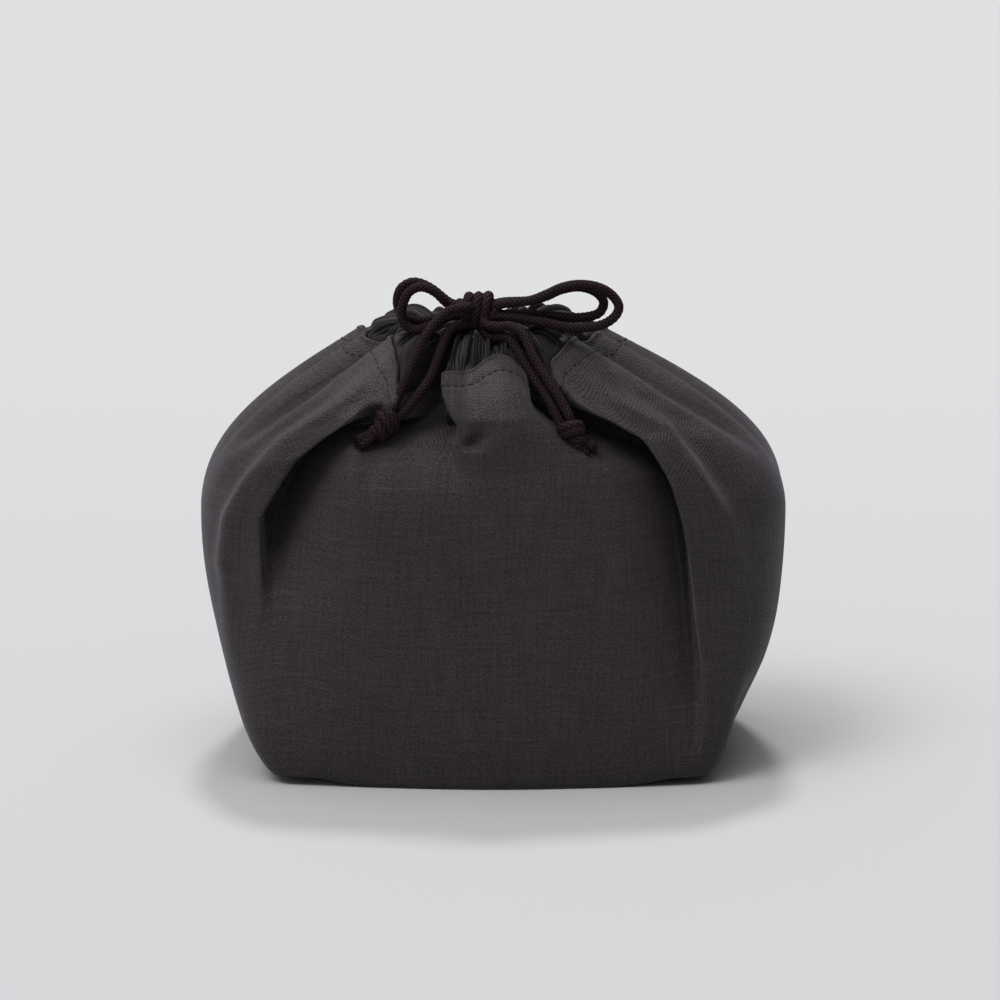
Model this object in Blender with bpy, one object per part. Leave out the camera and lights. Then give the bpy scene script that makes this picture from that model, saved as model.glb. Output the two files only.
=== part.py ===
"""A kinchaku pouch drawn shut: folded canvas body, gathered ribbed collar, and a bow of doubled cord.

Metres, +Z up, +X to the viewer's right, the front panel towards -Y.
The origin is the middle of the base panel, on the surface that the pouch stands on.
An azimuth is an angle about +Z, 0 at the middle of the front and positive towards the right.
"""

import math
from collections import namedtuple

import bmesh
import bpy
import numpy as np
from mathutils import Vector

COLLECTION_NAME = "kinchaku_pouch"

# Canvas body
BASE_WIDTH = 0.178
BASE_DEPTH = 0.120
BASE_SQUARENESS = 7.0
CORNER_LIFT = 0.0035
FLAT_SHARE = 0.86
WIDEST_WIDTH = 0.235
WIDEST_DEPTH = 0.134
WIDEST_HEIGHT = 0.104
WIDEST_SQUARENESS = 3.0
HEM_WIDTH = 0.104
HEM_DEPTH = 0.074
HEM_HEIGHT = 0.1735
HEM_SQUARENESS = 2.2
HEM_CENTRE_X = -0.0050
HEM_CENTRE_Y = -0.0030
FRONT_DIP = 0.0050
HEM_WALL = 0.0024
WELL_DEPTH = 0.0295
WELL_FLOOR = HEM_HEIGHT - WELL_DEPTH

# How full the shapes between those sizes are: powers of the share of the way up
FLARE_POWER = 0.9
SOFTENING_POWER = 0.7
SHOULDER_WIDTH_POWER = 2.0
SHOULDER_WIDTH_FALL = 1.1
SHOULDER_DEPTH_POWER = 2.2
DRIFT_POWER = 2.0
LIFT_POWER = 5
LIFT_REACH = 0.12
CORNER_REACH = 0.82
DIP_POWER = 6

# How the valleys of the gathered canvas are formed
HEM_DROP_IN_FOLD = 0.60
FOLD_WIDENING = 0.5
FOLD_RISE_POWER = 0.8
FOLD_SHARPNESS = 1.6

# Ribbed collar
COLLAR_CLEARANCE = 0.0012
SEAT_GAP = 0.0003
COLLAR_RISE = 0.0020
COLLAR_SHOULDER_HEIGHT = HEM_HEIGHT + COLLAR_RISE
GATHER_RADIUS = 0.0125
GATHER_FORWARD = 0.0100
GATHER_CENTRE_X = HEM_CENTRE_X
GATHER_CENTRE_Y = HEM_CENTRE_Y - GATHER_FORWARD
GATHER_DIP = 0.0030
PUCKER_DEPTH = 0.0075
PLEATS = 24
PLEAT_DEPTH = 0.0016

# Cord and knots
CORD_DIAMETER = 0.0040
CORD_SIDES_STEP = 2
CORD_POINT_SPACING = 0.0060
WRAP_COUNT = 4
WRAP_PITCH = 0.0048
KNOT_CENTRE_X = -0.0070
KNOT_FORWARD = 0.0200
KNOT_CENTRE_Y = GATHER_CENTRE_Y - KNOT_FORWARD
KNOT_HEIGHT = 0.0168
KNOT_DEPTH = 0.0110
WRAP_RELIEF = 0.0014
END_FACE_SHARE = 0.95
END_KNOT_LENGTH = 0.0150
END_KNOT_DIAMETER = 0.0104
FRAY_LENGTH = 0.0060

# Mesh fineness
AROUND = 120
KNOT_SIDES = 16

Fold = namedtuple("Fold", "hem_angle foot_angle depth half_width foot_height")

# The valleys between the flaps of gathered canvas: each starts at the hem and fades at its foot.
FOLDS = (
    Fold(-36, -52, 0.0130, 0.0065, 0.050),
    Fold(21, 50, 0.0190, 0.0075, 0.020),
    Fold(67, 69, 0.0130, 0.0070, 0.095),
    Fold(105, 106, 0.0140, 0.0075, 0.095),
    Fold(146, 134, 0.0180, 0.0080, 0.060),
    Fold(181, 178, 0.0170, 0.0080, 0.085),
    Fold(216, 228, 0.0180, 0.0080, 0.060),
    Fold(254, 254, 0.0140, 0.0075, 0.095),
    Fold(291, 289, 0.0130, 0.0070, 0.100),
)
# Short hollows just under the hem, which widen a valley without a line of their own further down.
POCKETS = (
    Fold(-33, -30, 0.0110, 0.0105, 0.134),
    Fold(24, 30, 0.0050, 0.0090, 0.130),
)

# The cord's own routes, chosen by hand: two strands to each side of the knot.
LOOP_ROUTES = {
    "left_loop_front": (
        (-0.0182, -0.0360, 0.1894), (-0.0233, -0.0370, 0.1943), (-0.0288, -0.0375, 0.1964),
        (-0.0335, -0.0370, 0.1942), (-0.0359, -0.0365, 0.1894), (-0.0366, -0.0360, 0.1846),
        (-0.0348, -0.0360, 0.1808), (-0.0305, -0.0360, 0.1790), (-0.0240, -0.0359, 0.1812),
        (-0.0180, -0.0358, 0.1842),
    ),
    "left_loop_back": (
        (-0.0182, -0.0312, 0.1894), (-0.0254, -0.0312, 0.1950), (-0.0317, -0.0312, 0.1972),
        (-0.0366, -0.0313, 0.1948), (-0.0382, -0.0314, 0.1898), (-0.0370, -0.0315, 0.1852),
        (-0.0332, -0.0315, 0.1822), (-0.0265, -0.0314, 0.1818), (-0.0178, -0.0312, 0.1840),
    ),
    "right_loop_front": (
        (0.0031, -0.0360, 0.1894), (0.0135, -0.0356, 0.1906), (0.0201, -0.0344, 0.1928),
        (0.0264, -0.0330, 0.1954), (0.0331, -0.0320, 0.1964), (0.0402, -0.0315, 0.1954),
        (0.0458, -0.0310, 0.1922), (0.0488, -0.0310, 0.1874), (0.0465, -0.0325, 0.1830),
        (0.0402, -0.0340, 0.1802), (0.0300, -0.0356, 0.1798), (0.0201, -0.0362, 0.1818),
        (0.0111, -0.0364, 0.1834), (0.0031, -0.0362, 0.1842),
    ),
    "right_loop_back": (
        (0.0031, -0.0312, 0.1892), (0.0135, -0.0302, 0.1896), (0.0202, -0.0292, 0.1912),
        (0.0257, -0.0282, 0.1935), (0.0324, -0.0272, 0.1946), (0.0384, -0.0266, 0.1932),
        (0.0423, -0.0265, 0.1900), (0.0427, -0.0270, 0.1866), (0.0399, -0.0282, 0.1837),
        (0.0320, -0.0295, 0.1827), (0.0233, -0.0306, 0.1836), (0.0135, -0.0314, 0.1844),
        (0.0031, -0.0314, 0.1844),
    ),
}
TAIL_ROUTES = {
    "left_tail_outer": (
        (-0.0145, -0.0409, 0.1884), (-0.0185, -0.0422, 0.1874), (-0.0226, -0.0442, 0.1840),
        (-0.0259, -0.0460, 0.1800), (-0.0290, -0.0476, 0.1748), (-0.0317, -0.0491, 0.1686),
        (-0.0344, -0.0505, 0.1626), (-0.0370, -0.0518, 0.1570), (-0.0391, -0.0527, 0.1518),
    ),
    "left_tail_inner": (
        (-0.0152, -0.0391, 0.1812), (-0.0179, -0.0414, 0.1796), (-0.0198, -0.0442, 0.1760),
        (-0.0221, -0.0468, 0.1699), (-0.0247, -0.0492, 0.1634), (-0.0280, -0.0510, 0.1584),
        (-0.0318, -0.0522, 0.1536), (-0.0354, -0.0530, 0.1494),
    ),
    "right_tail_outer": (
        (0.0010, -0.0403, 0.1812), (0.0064, -0.0420, 0.1816), (0.0110, -0.0442, 0.1790),
        (0.0134, -0.0468, 0.1744), (0.0165, -0.0496, 0.1686), (0.0204, -0.0524, 0.1630),
        (0.0243, -0.0550, 0.1572), (0.0274, -0.0568, 0.1520), (0.0289, -0.0578, 0.1492),
    ),
    "right_tail_inner": (
        (-0.0012, -0.0377, 0.1768), (0.0046, -0.0405, 0.1770), (0.0084, -0.0438, 0.1734),
        (0.0118, -0.0468, 0.1680), (0.0156, -0.0498, 0.1624), (0.0196, -0.0530, 0.1568),
        (0.0230, -0.0558, 0.1514), (0.0257, -0.0578, 0.1462),
    ),
}
END_KNOTS = {
    "left_end_knot": ((-0.0378, -0.0526, 0.1497), (-0.0461, -0.0532, 0.1365)),
    "right_end_knot": ((0.0279, -0.0574, 0.1470), (0.0373, -0.0590, 0.1371)),
}

CANVAS_COLOUR = (0.040, 0.035, 0.038, 1.0)
COLLAR_COLOUR = (0.028, 0.024, 0.026, 1.0)
CORD_COLOUR = (0.018, 0.010, 0.010, 1.0)


def material(name, colour, roughness):
    """A Principled material for cloth: no metal, only colour and roughness."""
    made = bpy.data.materials.get(name) or bpy.data.materials.new(name)
    made.use_nodes = True
    shader = made.node_tree.nodes["Principled BSDF"]
    shader.inputs["Base Color"].default_value = colour
    shader.inputs["Roughness"].default_value = roughness
    shader.inputs["Metallic"].default_value = 0.0
    return made


def ease(amount):
    """0 to 1 with level ends."""
    amount = np.clip(amount, 0.0, 1.0)
    return amount * amount * (3.0 - 2.0 * amount)


def section_radius(azimuth, half_width, half_depth, squareness):
    """Radius of a superellipse: 2 is an ellipse, and a large squareness is nearly a rectangle."""
    across = np.abs(np.sin(azimuth)) / half_width
    deep = np.abs(np.cos(azimuth)) / half_depth
    return (across**squareness + deep**squareness) ** (-1.0 / squareness)


def body_section(height):
    """Half width, half depth, squareness and centre of the smooth pouch at a height."""
    below = math.sin(math.pi / 2 * min(height / WIDEST_HEIGHT, 1.0) ** FLARE_POWER)
    above = max(height - WIDEST_HEIGHT, 0.0) / (HEM_HEIGHT - WIDEST_HEIGHT)
    half_width = (BASE_WIDTH + (WIDEST_WIDTH - BASE_WIDTH) * below) / 2
    half_depth = (BASE_DEPTH + (WIDEST_DEPTH - BASE_DEPTH) * below) / 2
    squareness = BASE_SQUARENESS + (WIDEST_SQUARENESS - BASE_SQUARENESS) * below**SOFTENING_POWER
    if above > 0:
        width_left = (1 - above**SHOULDER_WIDTH_POWER) ** SHOULDER_WIDTH_FALL
        depth_left = 1 - above**SHOULDER_DEPTH_POWER
        half_width = (HEM_WIDTH + (WIDEST_WIDTH - HEM_WIDTH) * width_left) / 2
        half_depth = (HEM_DEPTH + (WIDEST_DEPTH - HEM_DEPTH) * depth_left) / 2
        squareness = WIDEST_SQUARENESS + (HEM_SQUARENESS - WIDEST_SQUARENESS) * above
    drift = above**DRIFT_POWER
    return half_width, half_depth, squareness, (HEM_CENTRE_X * drift, HEM_CENTRE_Y * drift)


def fold_climb(fold, height):
    """How far up its own length a valley is at a height: 0 at its foot, 1 at the hem."""
    return min(max((height - fold.foot_height) / (HEM_HEIGHT - fold.foot_height), 0.0), 1.0)


def fold_angle(fold, height):
    """Azimuth of a valley's middle: it sweeps from its foot angle to its hem angle."""
    climb = fold_climb(fold, height)
    return math.radians(fold.foot_angle + (fold.hem_angle - fold.foot_angle) * climb)


def swept(azimuth, height):
    """The azimuths of the columns at a height: they keep beside the valleys as these sweep."""
    at_hem = [math.radians(fold.hem_angle) for fold in FOLDS]
    here = [fold_angle(fold, height) for fold in FOLDS]
    full = 2 * math.pi
    at_hem = [at_hem[-1] - full] + at_hem + [at_hem[0] + full]
    here = [here[-1] - full] + here + [here[0] + full]
    return np.interp((azimuth - at_hem[0]) % full + at_hem[0], at_hem, here)


def fold_inset(azimuth, radius, height):
    """How far the valleys draw the canvas in, at each azimuth of one height."""
    inset = np.zeros_like(azimuth)
    for fold in FOLDS + POCKETS:
        climb = fold_climb(fold, height)
        middle = fold_angle(fold, height)
        strength = float(ease(climb)) ** FOLD_RISE_POWER
        away = np.angle(np.exp(1j * (azimuth - middle))) * radius
        spread = fold.half_width * (1.0 + FOLD_WIDENING * (1.0 - climb))
        inset += fold.depth * strength * np.exp(-np.abs(away / spread) ** FOLD_SHARPNESS)
    return inset


def hem_height(azimuth):
    """The hem stands highest on the flaps, dips in the valleys, and is a little lower in front."""
    half_width, half_depth, squareness, _ = body_section(HEM_HEIGHT)
    radius = section_radius(azimuth, half_width, half_depth, squareness)
    dip = HEM_DROP_IN_FOLD * fold_inset(azimuth, radius, HEM_HEIGHT)
    front = FRONT_DIP * np.clip(np.cos(azimuth), 0.0, 1.0) ** DIP_POWER
    return HEM_HEIGHT - dip - front


def body_ring(azimuth, share):
    """One row of the canvas, at a share of the way from the base seam to the hem."""
    height = share * HEM_HEIGHT
    half_width, half_depth, squareness, centre = body_section(height)
    column = azimuth
    azimuth = swept(column, height)
    radius = section_radius(azimuth, half_width, half_depth, squareness)
    radius = radius - fold_inset(azimuth, radius, height)
    x = centre[0] + radius * np.sin(azimuth)
    y = centre[1] - radius * np.cos(azimuth)
    cornered = np.abs(x * y) / (BASE_WIDTH * BASE_DEPTH / 4 * CORNER_REACH)
    lift = CORNER_LIFT * np.clip(cornered, 0.0, 1.0) ** LIFT_POWER
    lift = lift * max(1.0 - share / LIFT_REACH, 0.0)
    z = share * hem_height(column) + lift
    return np.stack([x, y, z], axis=1)


def inner_ring(azimuth, inset, z):
    """The hem's own outline drawn in by a wall thickness, at the heights given."""
    half_width, half_depth, squareness, centre = body_section(HEM_HEIGHT)
    radius = section_radius(azimuth, half_width, half_depth, squareness)
    radius = radius - fold_inset(azimuth, radius, HEM_HEIGHT) - inset
    x = centre[0] + radius * np.sin(azimuth)
    y = centre[1] - radius * np.cos(azimuth)
    return np.stack([x, y, np.broadcast_to(z, x.shape)], axis=1)


def loft(name, rings, collection, finish):
    """A closed skin over rings of equal count, bottom to top, with a flat face at each end."""
    mesh = bmesh.new()
    rows = [[mesh.verts.new(point) for point in ring] for ring in rings]
    for lower, upper in zip(rows, rows[1:]):
        for i in range(len(lower)):
            j = (i + 1) % len(lower)
            mesh.faces.new((lower[i], lower[j], upper[j], upper[i]))
    mesh.faces.new(rows[0][::-1])
    mesh.faces.new(rows[-1])
    bmesh.ops.recalc_face_normals(mesh, faces=mesh.faces)
    data = bpy.data.meshes.new(name)
    mesh.to_mesh(data)
    mesh.free()
    data.shade_smooth()
    data.set_sharp_from_angle(angle=math.radians(50))
    made = bpy.data.objects.new(name, data)
    made.data.materials.append(finish)
    collection.objects.link(made)
    return made


def azimuths(count):
    return np.linspace(0.0, 2 * math.pi, count, endpoint=False)


def add_body(collection):
    """The canvas: flat base panel, bulging sides, folded shoulders, and the well inside the hem."""
    turn = azimuths(AROUND)
    seam = body_ring(turn, 0.0)
    base = seam * FLAT_SHARE
    base[:, 2] = 0.0
    shares = (0.0, 0.04, 0.10, 0.18, 0.27, 0.36, 0.45, 0.53, 0.60, 0.665, 0.72, 0.77, 0.815,
              0.86, 0.90, 0.94, 0.975, 1.0)
    rings = [base] + [body_ring(turn, share) for share in shares]
    hem = hem_height(turn)
    rings.append(inner_ring(turn, HEM_WALL, hem))
    rings.append(inner_ring(turn, HEM_WALL, (hem + WELL_FLOOR) / 2))
    rings.append(inner_ring(turn, HEM_WALL, WELL_FLOOR))
    return loft("pouch_body", rings, collection, material("canvas", CANVAS_COLOUR, 0.85))


def collar_ring(azimuth, inward, z, pleat):
    """A ring of the collar, part of the way from the hem's outline to the drawn gather."""
    seat = inner_ring(azimuth, HEM_WALL + COLLAR_CLEARANCE, z)
    radius = GATHER_RADIUS * np.ones_like(azimuth)
    x = GATHER_CENTRE_X + radius * np.sin(azimuth)
    y = GATHER_CENTRE_Y - radius * np.cos(azimuth)
    ring = seat.copy()
    ring[:, 0] = seat[:, 0] + (x - seat[:, 0]) * inward
    ring[:, 1] = seat[:, 1] + (y - seat[:, 1]) * inward
    ring[:, 2] = ring[:, 2] + pleat * PLEAT_DEPTH * np.cos(PLEATS * azimuth)
    return ring


def add_collar(collection):
    """The ribbed collar: it stands in the well, rises over the hem and is drawn in to a pucker."""
    turn = azimuths(AROUND)
    hem = hem_height(turn)
    floor = WELL_FLOOR + SEAT_GAP
    top = COLLAR_SHOULDER_HEIGHT
    rings = [
        collar_ring(turn, 0.0, floor, 0.0),
        collar_ring(turn, 0.0, (floor + hem) / 2, 0.0),
        collar_ring(turn, 0.01, hem, 0.0),
        collar_ring(turn, 0.08, hem + (top - hem) * 0.65, 0.5),
        collar_ring(turn, 0.22, hem + (top - hem) * 0.95, 1.0),
        collar_ring(turn, 0.45, top, 1.0),
        collar_ring(turn, 0.72, top - GATHER_DIP, 1.0),
        collar_ring(turn, 0.92, top - GATHER_DIP * 0.4, 1.0),
    ]
    for shrink, drop in ((0.78, 0.0), (0.50, 0.45), (0.30, 1.0)):
        ring = collar_ring(turn, 1.0, top - PUCKER_DEPTH * drop, 0.4)
        ring[:, 0] = GATHER_CENTRE_X + (ring[:, 0] - GATHER_CENTRE_X) * shrink
        ring[:, 1] = GATHER_CENTRE_Y + (ring[:, 1] - GATHER_CENTRE_Y) * shrink
        rings.append(ring)
    return loft("collar", rings, collection, material("ribbed_cloth", COLLAR_COLOUR, 0.55))


def smooth_route(points, spacing):
    """Points at even steps along a Catmull-Rom curve through the given ones."""
    points = np.array(points)
    ends = np.vstack([2 * points[0] - points[1], points, 2 * points[-1] - points[-2]])
    fine = []
    for a, b, c, d in zip(ends, ends[1:], ends[2:], ends[3:]):
        t = np.linspace(0.0, 1.0, 20, endpoint=False)[:, None]
        fine.append(0.5 * (2 * b + (c - a) * t + (2 * a - 5 * b + 4 * c - d) * t**2
                           + (3 * b - a - 3 * c + d) * t**3))
    fine = np.vstack(fine + [points[-1:]])
    along = np.concatenate([[0.0], np.cumsum(np.linalg.norm(np.diff(fine, axis=0), axis=1))])
    steps = max(int(round(along[-1] / spacing)), 4)
    wanted = np.linspace(0.0, along[-1], steps + 1)
    return np.stack([np.interp(wanted, along, fine[:, k]) for k in range(3)], axis=1)


def add_cord(name, points, collection, finish):
    """A plain round tube along a smooth route."""
    route = smooth_route(points, CORD_POINT_SPACING)
    curve = bpy.data.curves.new(name, "CURVE")
    curve.dimensions = "3D"
    curve.bevel_depth = CORD_DIAMETER / 2
    curve.bevel_resolution = CORD_SIDES_STEP
    curve.use_fill_caps = True
    spline = curve.splines.new("POLY")
    spline.points.add(len(route) - 1)
    for point, place in zip(spline.points, route):
        point.co = (*place, 1.0)
    curve.materials.append(finish)
    made = bpy.data.objects.new(name, curve)
    collection.objects.link(made)
    return made


def lump_rings(start, end, radii, flatten=1.0):
    """Rings of the given radii, evenly spaced on the line from start to end."""
    start, end = Vector(start), Vector(end)
    axis = (end - start).normalized()
    side = axis.cross(Vector((0.0, 1.0, 0.0))).normalized()
    deep = side.cross(axis).normalized()
    rings = []
    for i, radius in enumerate(radii):
        middle = start.lerp(end, i / (len(radii) - 1))
        ring = []
        for turn in azimuths(KNOT_SIDES):
            across = math.cos(turn) * radius * side
            ring.append(middle + across + math.sin(turn) * radius * flatten * deep)
        rings.append(ring)
    return rings


def add_bow_knot(collection, finish):
    """The bow's knot: wraps of cord side by side round a core that runs left to right."""
    length = WRAP_COUNT * WRAP_PITCH
    seat = COLLAR_SHOULDER_HEIGHT + PLEAT_DEPTH + SEAT_GAP
    middle = Vector((KNOT_CENTRE_X, KNOT_CENTRE_Y, seat + KNOT_HEIGHT / 2))
    start = middle - Vector((length / 2, 0.0, 0.0))
    end = middle + Vector((length / 2, 0.0, 0.0))
    stations = WRAP_COUNT * 6 + 1
    radii = []
    for i in range(stations):
        wrap = math.sqrt(abs(math.sin(math.pi * WRAP_COUNT * i / (stations - 1))))
        edge = min(i, stations - 1 - i)
        closing = END_FACE_SHARE if edge == 0 else 1.0
        radii.append(closing * (KNOT_HEIGHT / 2 - WRAP_RELIEF * (1.0 - wrap)))
    rings = lump_rings(start, end, radii, flatten=KNOT_DEPTH / KNOT_HEIGHT)
    return loft("bow_knot", rings, collection, finish)


def add_end_knot(name, start, end, collection, finish):
    """An overhand knot at the ends of two strands: two lumps, then a short frayed tuft."""
    start, end = Vector(start), Vector(end)
    along = (end - start).normalized()
    end = start + along * (END_KNOT_LENGTH + FRAY_LENGTH)
    stations = 18
    lumps = END_KNOT_LENGTH / (END_KNOT_LENGTH + FRAY_LENGTH)
    radii = []
    for i in range(stations):
        share = i / (stations - 1)
        if share < lumps:
            wave = abs(math.sin(math.pi * 2.0 * min(share / lumps, 0.999)))
            radii.append(END_KNOT_DIAMETER / 2 * (0.62 + 0.38 * math.sqrt(wave)))
        else:
            left = (1.0 - share) / (1.0 - lumps)
            radii.append(END_KNOT_DIAMETER / 2 * (0.30 + 0.30 * left))
    return loft(name, lump_rings(start, end, radii), collection, finish)


def main():
    for old in list(bpy.data.objects):
        bpy.data.objects.remove(old, do_unlink=True)
    collection = bpy.data.collections.new(COLLECTION_NAME)
    bpy.context.scene.collection.children.link(collection)
    cord_finish = material("braided_cord", CORD_COLOUR, 0.75)
    add_body(collection)
    add_collar(collection)
    add_bow_knot(collection, cord_finish)
    for routes in (LOOP_ROUTES, TAIL_ROUTES):
        for name, points in routes.items():
            add_cord(name, points, collection, cord_finish)
    for name, (start, end) in END_KNOTS.items():
        add_end_knot(name, start, end, collection, cord_finish)


main()
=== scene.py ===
# %% [markdown]
# A kinchaku is a small Japanese drawstring pouch. This one is charcoal canvas on a flat gusseted
# base, with a thin ribbed collar inside its hem, drawn shut and tied with a bow of doubled cord.
# The frame that is loaded here holds plain solids of the right size. Each step below replaces
# some of them with the cloth or the cord that the real pouch is made of.

# %% Load the frame
import math
from collections import namedtuple

import bpy
import numpy as np
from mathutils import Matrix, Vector


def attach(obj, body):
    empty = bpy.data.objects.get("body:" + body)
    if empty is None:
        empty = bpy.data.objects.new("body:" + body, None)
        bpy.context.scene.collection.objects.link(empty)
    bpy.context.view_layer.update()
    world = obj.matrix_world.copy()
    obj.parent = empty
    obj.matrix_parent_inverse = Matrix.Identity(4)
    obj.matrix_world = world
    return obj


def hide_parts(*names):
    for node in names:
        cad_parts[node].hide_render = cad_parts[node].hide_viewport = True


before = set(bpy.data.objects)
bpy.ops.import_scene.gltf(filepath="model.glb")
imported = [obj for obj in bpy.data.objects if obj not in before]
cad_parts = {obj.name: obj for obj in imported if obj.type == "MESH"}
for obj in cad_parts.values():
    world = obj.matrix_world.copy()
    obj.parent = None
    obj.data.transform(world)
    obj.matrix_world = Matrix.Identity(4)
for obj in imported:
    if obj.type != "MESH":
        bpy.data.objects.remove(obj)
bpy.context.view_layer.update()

# %% [markdown]
# The camera comes first, because every later step is judged through it. A long lens from 1.6 m
# away keeps the pouch's sides nearly parallel, as a product photographer would have them. It is
# placed by its height above the horizon and by the width that it frames at the front panel.

# %% Camera
VIEW_TARGET = Vector((0.0021, -0.060, 0.1161))
VIEW_ELEVATION = math.radians(13.0)
VIEW_DISTANCE = 1.6
VIEW_WIDTH = 0.390
SENSOR_WIDTH_MM = 36.0

camera_data = bpy.data.cameras.new("camera")
camera_data.sensor_width = SENSOR_WIDTH_MM
camera_data.lens = SENSOR_WIDTH_MM * VIEW_DISTANCE / VIEW_WIDTH
camera = bpy.data.objects.new("camera", camera_data)
backwards = Vector((0.0, -math.cos(VIEW_ELEVATION), math.sin(VIEW_ELEVATION)))
camera.location = VIEW_TARGET + VIEW_DISTANCE * backwards
camera.rotation_euler = (math.pi / 2 - VIEW_ELEVATION, 0.0, 0.0)
bpy.context.scene.collection.objects.link(camera)
bpy.context.scene.camera = camera
print("lens", round(camera_data.lens, 1), "mm")

# %% [markdown]
# Every new piece is a grid of points: rows along it and columns across it or round it. One helper
# joins neighbouring points with four-sided faces and keeps a flat coordinate for each corner, so
# that weave and braid can follow the piece. The alternative, sculpting by hand, would leave
# nothing that can be changed with a number.

# %% From grids of points to pieces
Skin = namedtuple("Skin", "points faces corners")


def grid_skin(points, flat, closed, close_ends=False):
    """Quads between neighbouring points of a rows x columns grid, round to the start if closed.

    flat holds a (u, v) for each point, with one more column than points if the grid is closed.
    close_ends adds one flat face over the first row and one over the last.
    """
    rows, columns = points.shape[:2]
    i = np.arange(rows - 1)[:, None]
    j = np.arange(columns if closed else columns - 1)[None, :]
    nxt = (j + 1) % columns
    quads = np.stack([i * columns + j, i * columns + nxt,
                      (i + 1) * columns + nxt, (i + 1) * columns + j], axis=-1)
    flat_quads = np.stack([flat[i, j], flat[i, j + 1], flat[i + 1, j + 1], flat[i + 1, j]], axis=2)
    faces = quads.reshape(-1, 4).tolist()
    corners = [flat_quads.reshape(-1, 2)]
    if close_ends:
        ring = np.arange(columns)
        faces.append(ring[::-1].tolist())
        faces.append((ring + (rows - 1) * columns).tolist())
        corners.append(flat[0, :columns][::-1])
        corners.append(flat[-1, :columns])
    return Skin(points.reshape(-1, 3), faces, np.concatenate(corners))


def make_piece(name, skins, finish):
    """One mesh object from one or more skins, smooth, with its flat coordinates in a UV map."""
    points = []
    faces = []
    corners = []
    start = 0
    for skin in skins:
        points.append(skin.points)
        faces.extend([[start + corner for corner in face] for face in skin.faces])
        corners.append(skin.corners)
        start += len(skin.points)
    mesh = bpy.data.meshes.new(name)
    mesh.from_pydata(np.concatenate(points).tolist(), [], faces)
    layer = mesh.uv_layers.new(name="flat")
    layer.data.foreach_set("uv", np.concatenate(corners).astype(np.float32).ravel())
    mesh.materials.append(finish)
    mesh.shade_smooth()
    mesh.update()
    piece = bpy.data.objects.new(name, mesh)
    bpy.context.scene.collection.objects.link(piece)
    print(name, "has", len(mesh.polygons), "faces")
    return piece


# %% [markdown]
# Materials are built from a few nodes. Helpers keep them short: one starts a material with the
# numbers that are the same all over, others add a sum, noise or the piece's flat coordinates, and
# the last one wires colour and bump.

# %% Helpers for materials
def new_material(name, roughness, specular, sheen=0.0, sheen_roughness=0.5):
    """A material whose even values sit on the shader itself. Gives the material and its nodes."""
    made = bpy.data.materials.new(name)
    made.use_nodes = True
    shader = made.node_tree.nodes["Principled BSDF"]
    shader.inputs["Roughness"].default_value = roughness
    shader.inputs["Specular IOR Level"].default_value = specular
    shader.inputs["Sheen Weight"].default_value = sheen
    shader.inputs["Sheen Roughness"].default_value = sheen_roughness
    return made, made.node_tree, shader


def plug(tree, socket, value):
    """Link a socket to another one, or set it to a number."""
    if isinstance(value, (int, float)):
        socket.default_value = value
    else:
        tree.links.new(value, socket)


def sum_node(tree, operation, first, second=0.0):
    """One Math node, with sockets or numbers as inputs."""
    node = tree.nodes.new("ShaderNodeMath")
    node.operation = operation
    plug(tree, node.inputs[0], first)
    plug(tree, node.inputs[1], second)
    return node.outputs[0]


def flat_coordinates(tree):
    """The piece's own flat coordinates, as two separate numbers."""
    source = tree.nodes.new("ShaderNodeUVMap")
    source.uv_map = "flat"
    split = tree.nodes.new("ShaderNodeSeparateXYZ")
    tree.links.new(source.outputs[0], split.inputs[0])
    return split.outputs[0], split.outputs[1]


def noise_node(tree, u, v, detail=2.0):
    """Noise read at (u, v)."""
    join = tree.nodes.new("ShaderNodeCombineXYZ")
    plug(tree, join.inputs[0], u)
    plug(tree, join.inputs[1], v)
    noise = tree.nodes.new("ShaderNodeTexNoise")
    noise.inputs["Scale"].default_value = 1.0
    noise.inputs["Detail"].default_value = detail
    tree.links.new(join.outputs[0], noise.inputs["Vector"])
    return noise.outputs[0]


def wire_colour_and_bump(tree, shader, share, dark, light, height, strength, distance):
    """Colour between dark and light by share, and a bump of the given height pattern."""
    mix = tree.nodes.new("ShaderNodeMix")
    mix.data_type = "RGBA"
    tree.links.new(share, mix.inputs[0])
    mix_a = [socket for socket in mix.inputs if socket.name == "A" and socket.type == "RGBA"][0]
    mix_b = [socket for socket in mix.inputs if socket.name == "B" and socket.type == "RGBA"][0]
    mix_a.default_value = (*dark, 1.0)
    mix_b.default_value = (*light, 1.0)
    result = [socket for socket in mix.outputs if socket.type == "RGBA"][0]
    tree.links.new(result, shader.inputs["Base Color"])
    bump = tree.nodes.new("ShaderNodeBump")
    bump.inputs["Strength"].default_value = strength
    bump.inputs["Distance"].default_value = distance
    tree.links.new(height, bump.inputs["Height"])
    tree.links.new(bump.outputs[0], shader.inputs["Normal"])


# %% [markdown]
# The drawcord is a soft round braid, so dark a brown that it is nearly black. A braid is two
# families of yarns that wind left and right and pass over each other, and from a step away it
# reads as rows of small bumps set like bricks. The rows are real relief in the mesh here, and the
# material adds the hollows' shade and the fine yarns inside each bump.

# %% Braided cord: finish
# Dark is the painted shade in the braid's hollows, light the colour of its tops.
CORD_DARK = (0.0026, 0.0012, 0.0015)
CORD_LIGHT = (0.0560, 0.0260, 0.0310)
YARNS_PER_BUMP = 3.0
YARN_DEPTH = 0.18


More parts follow.
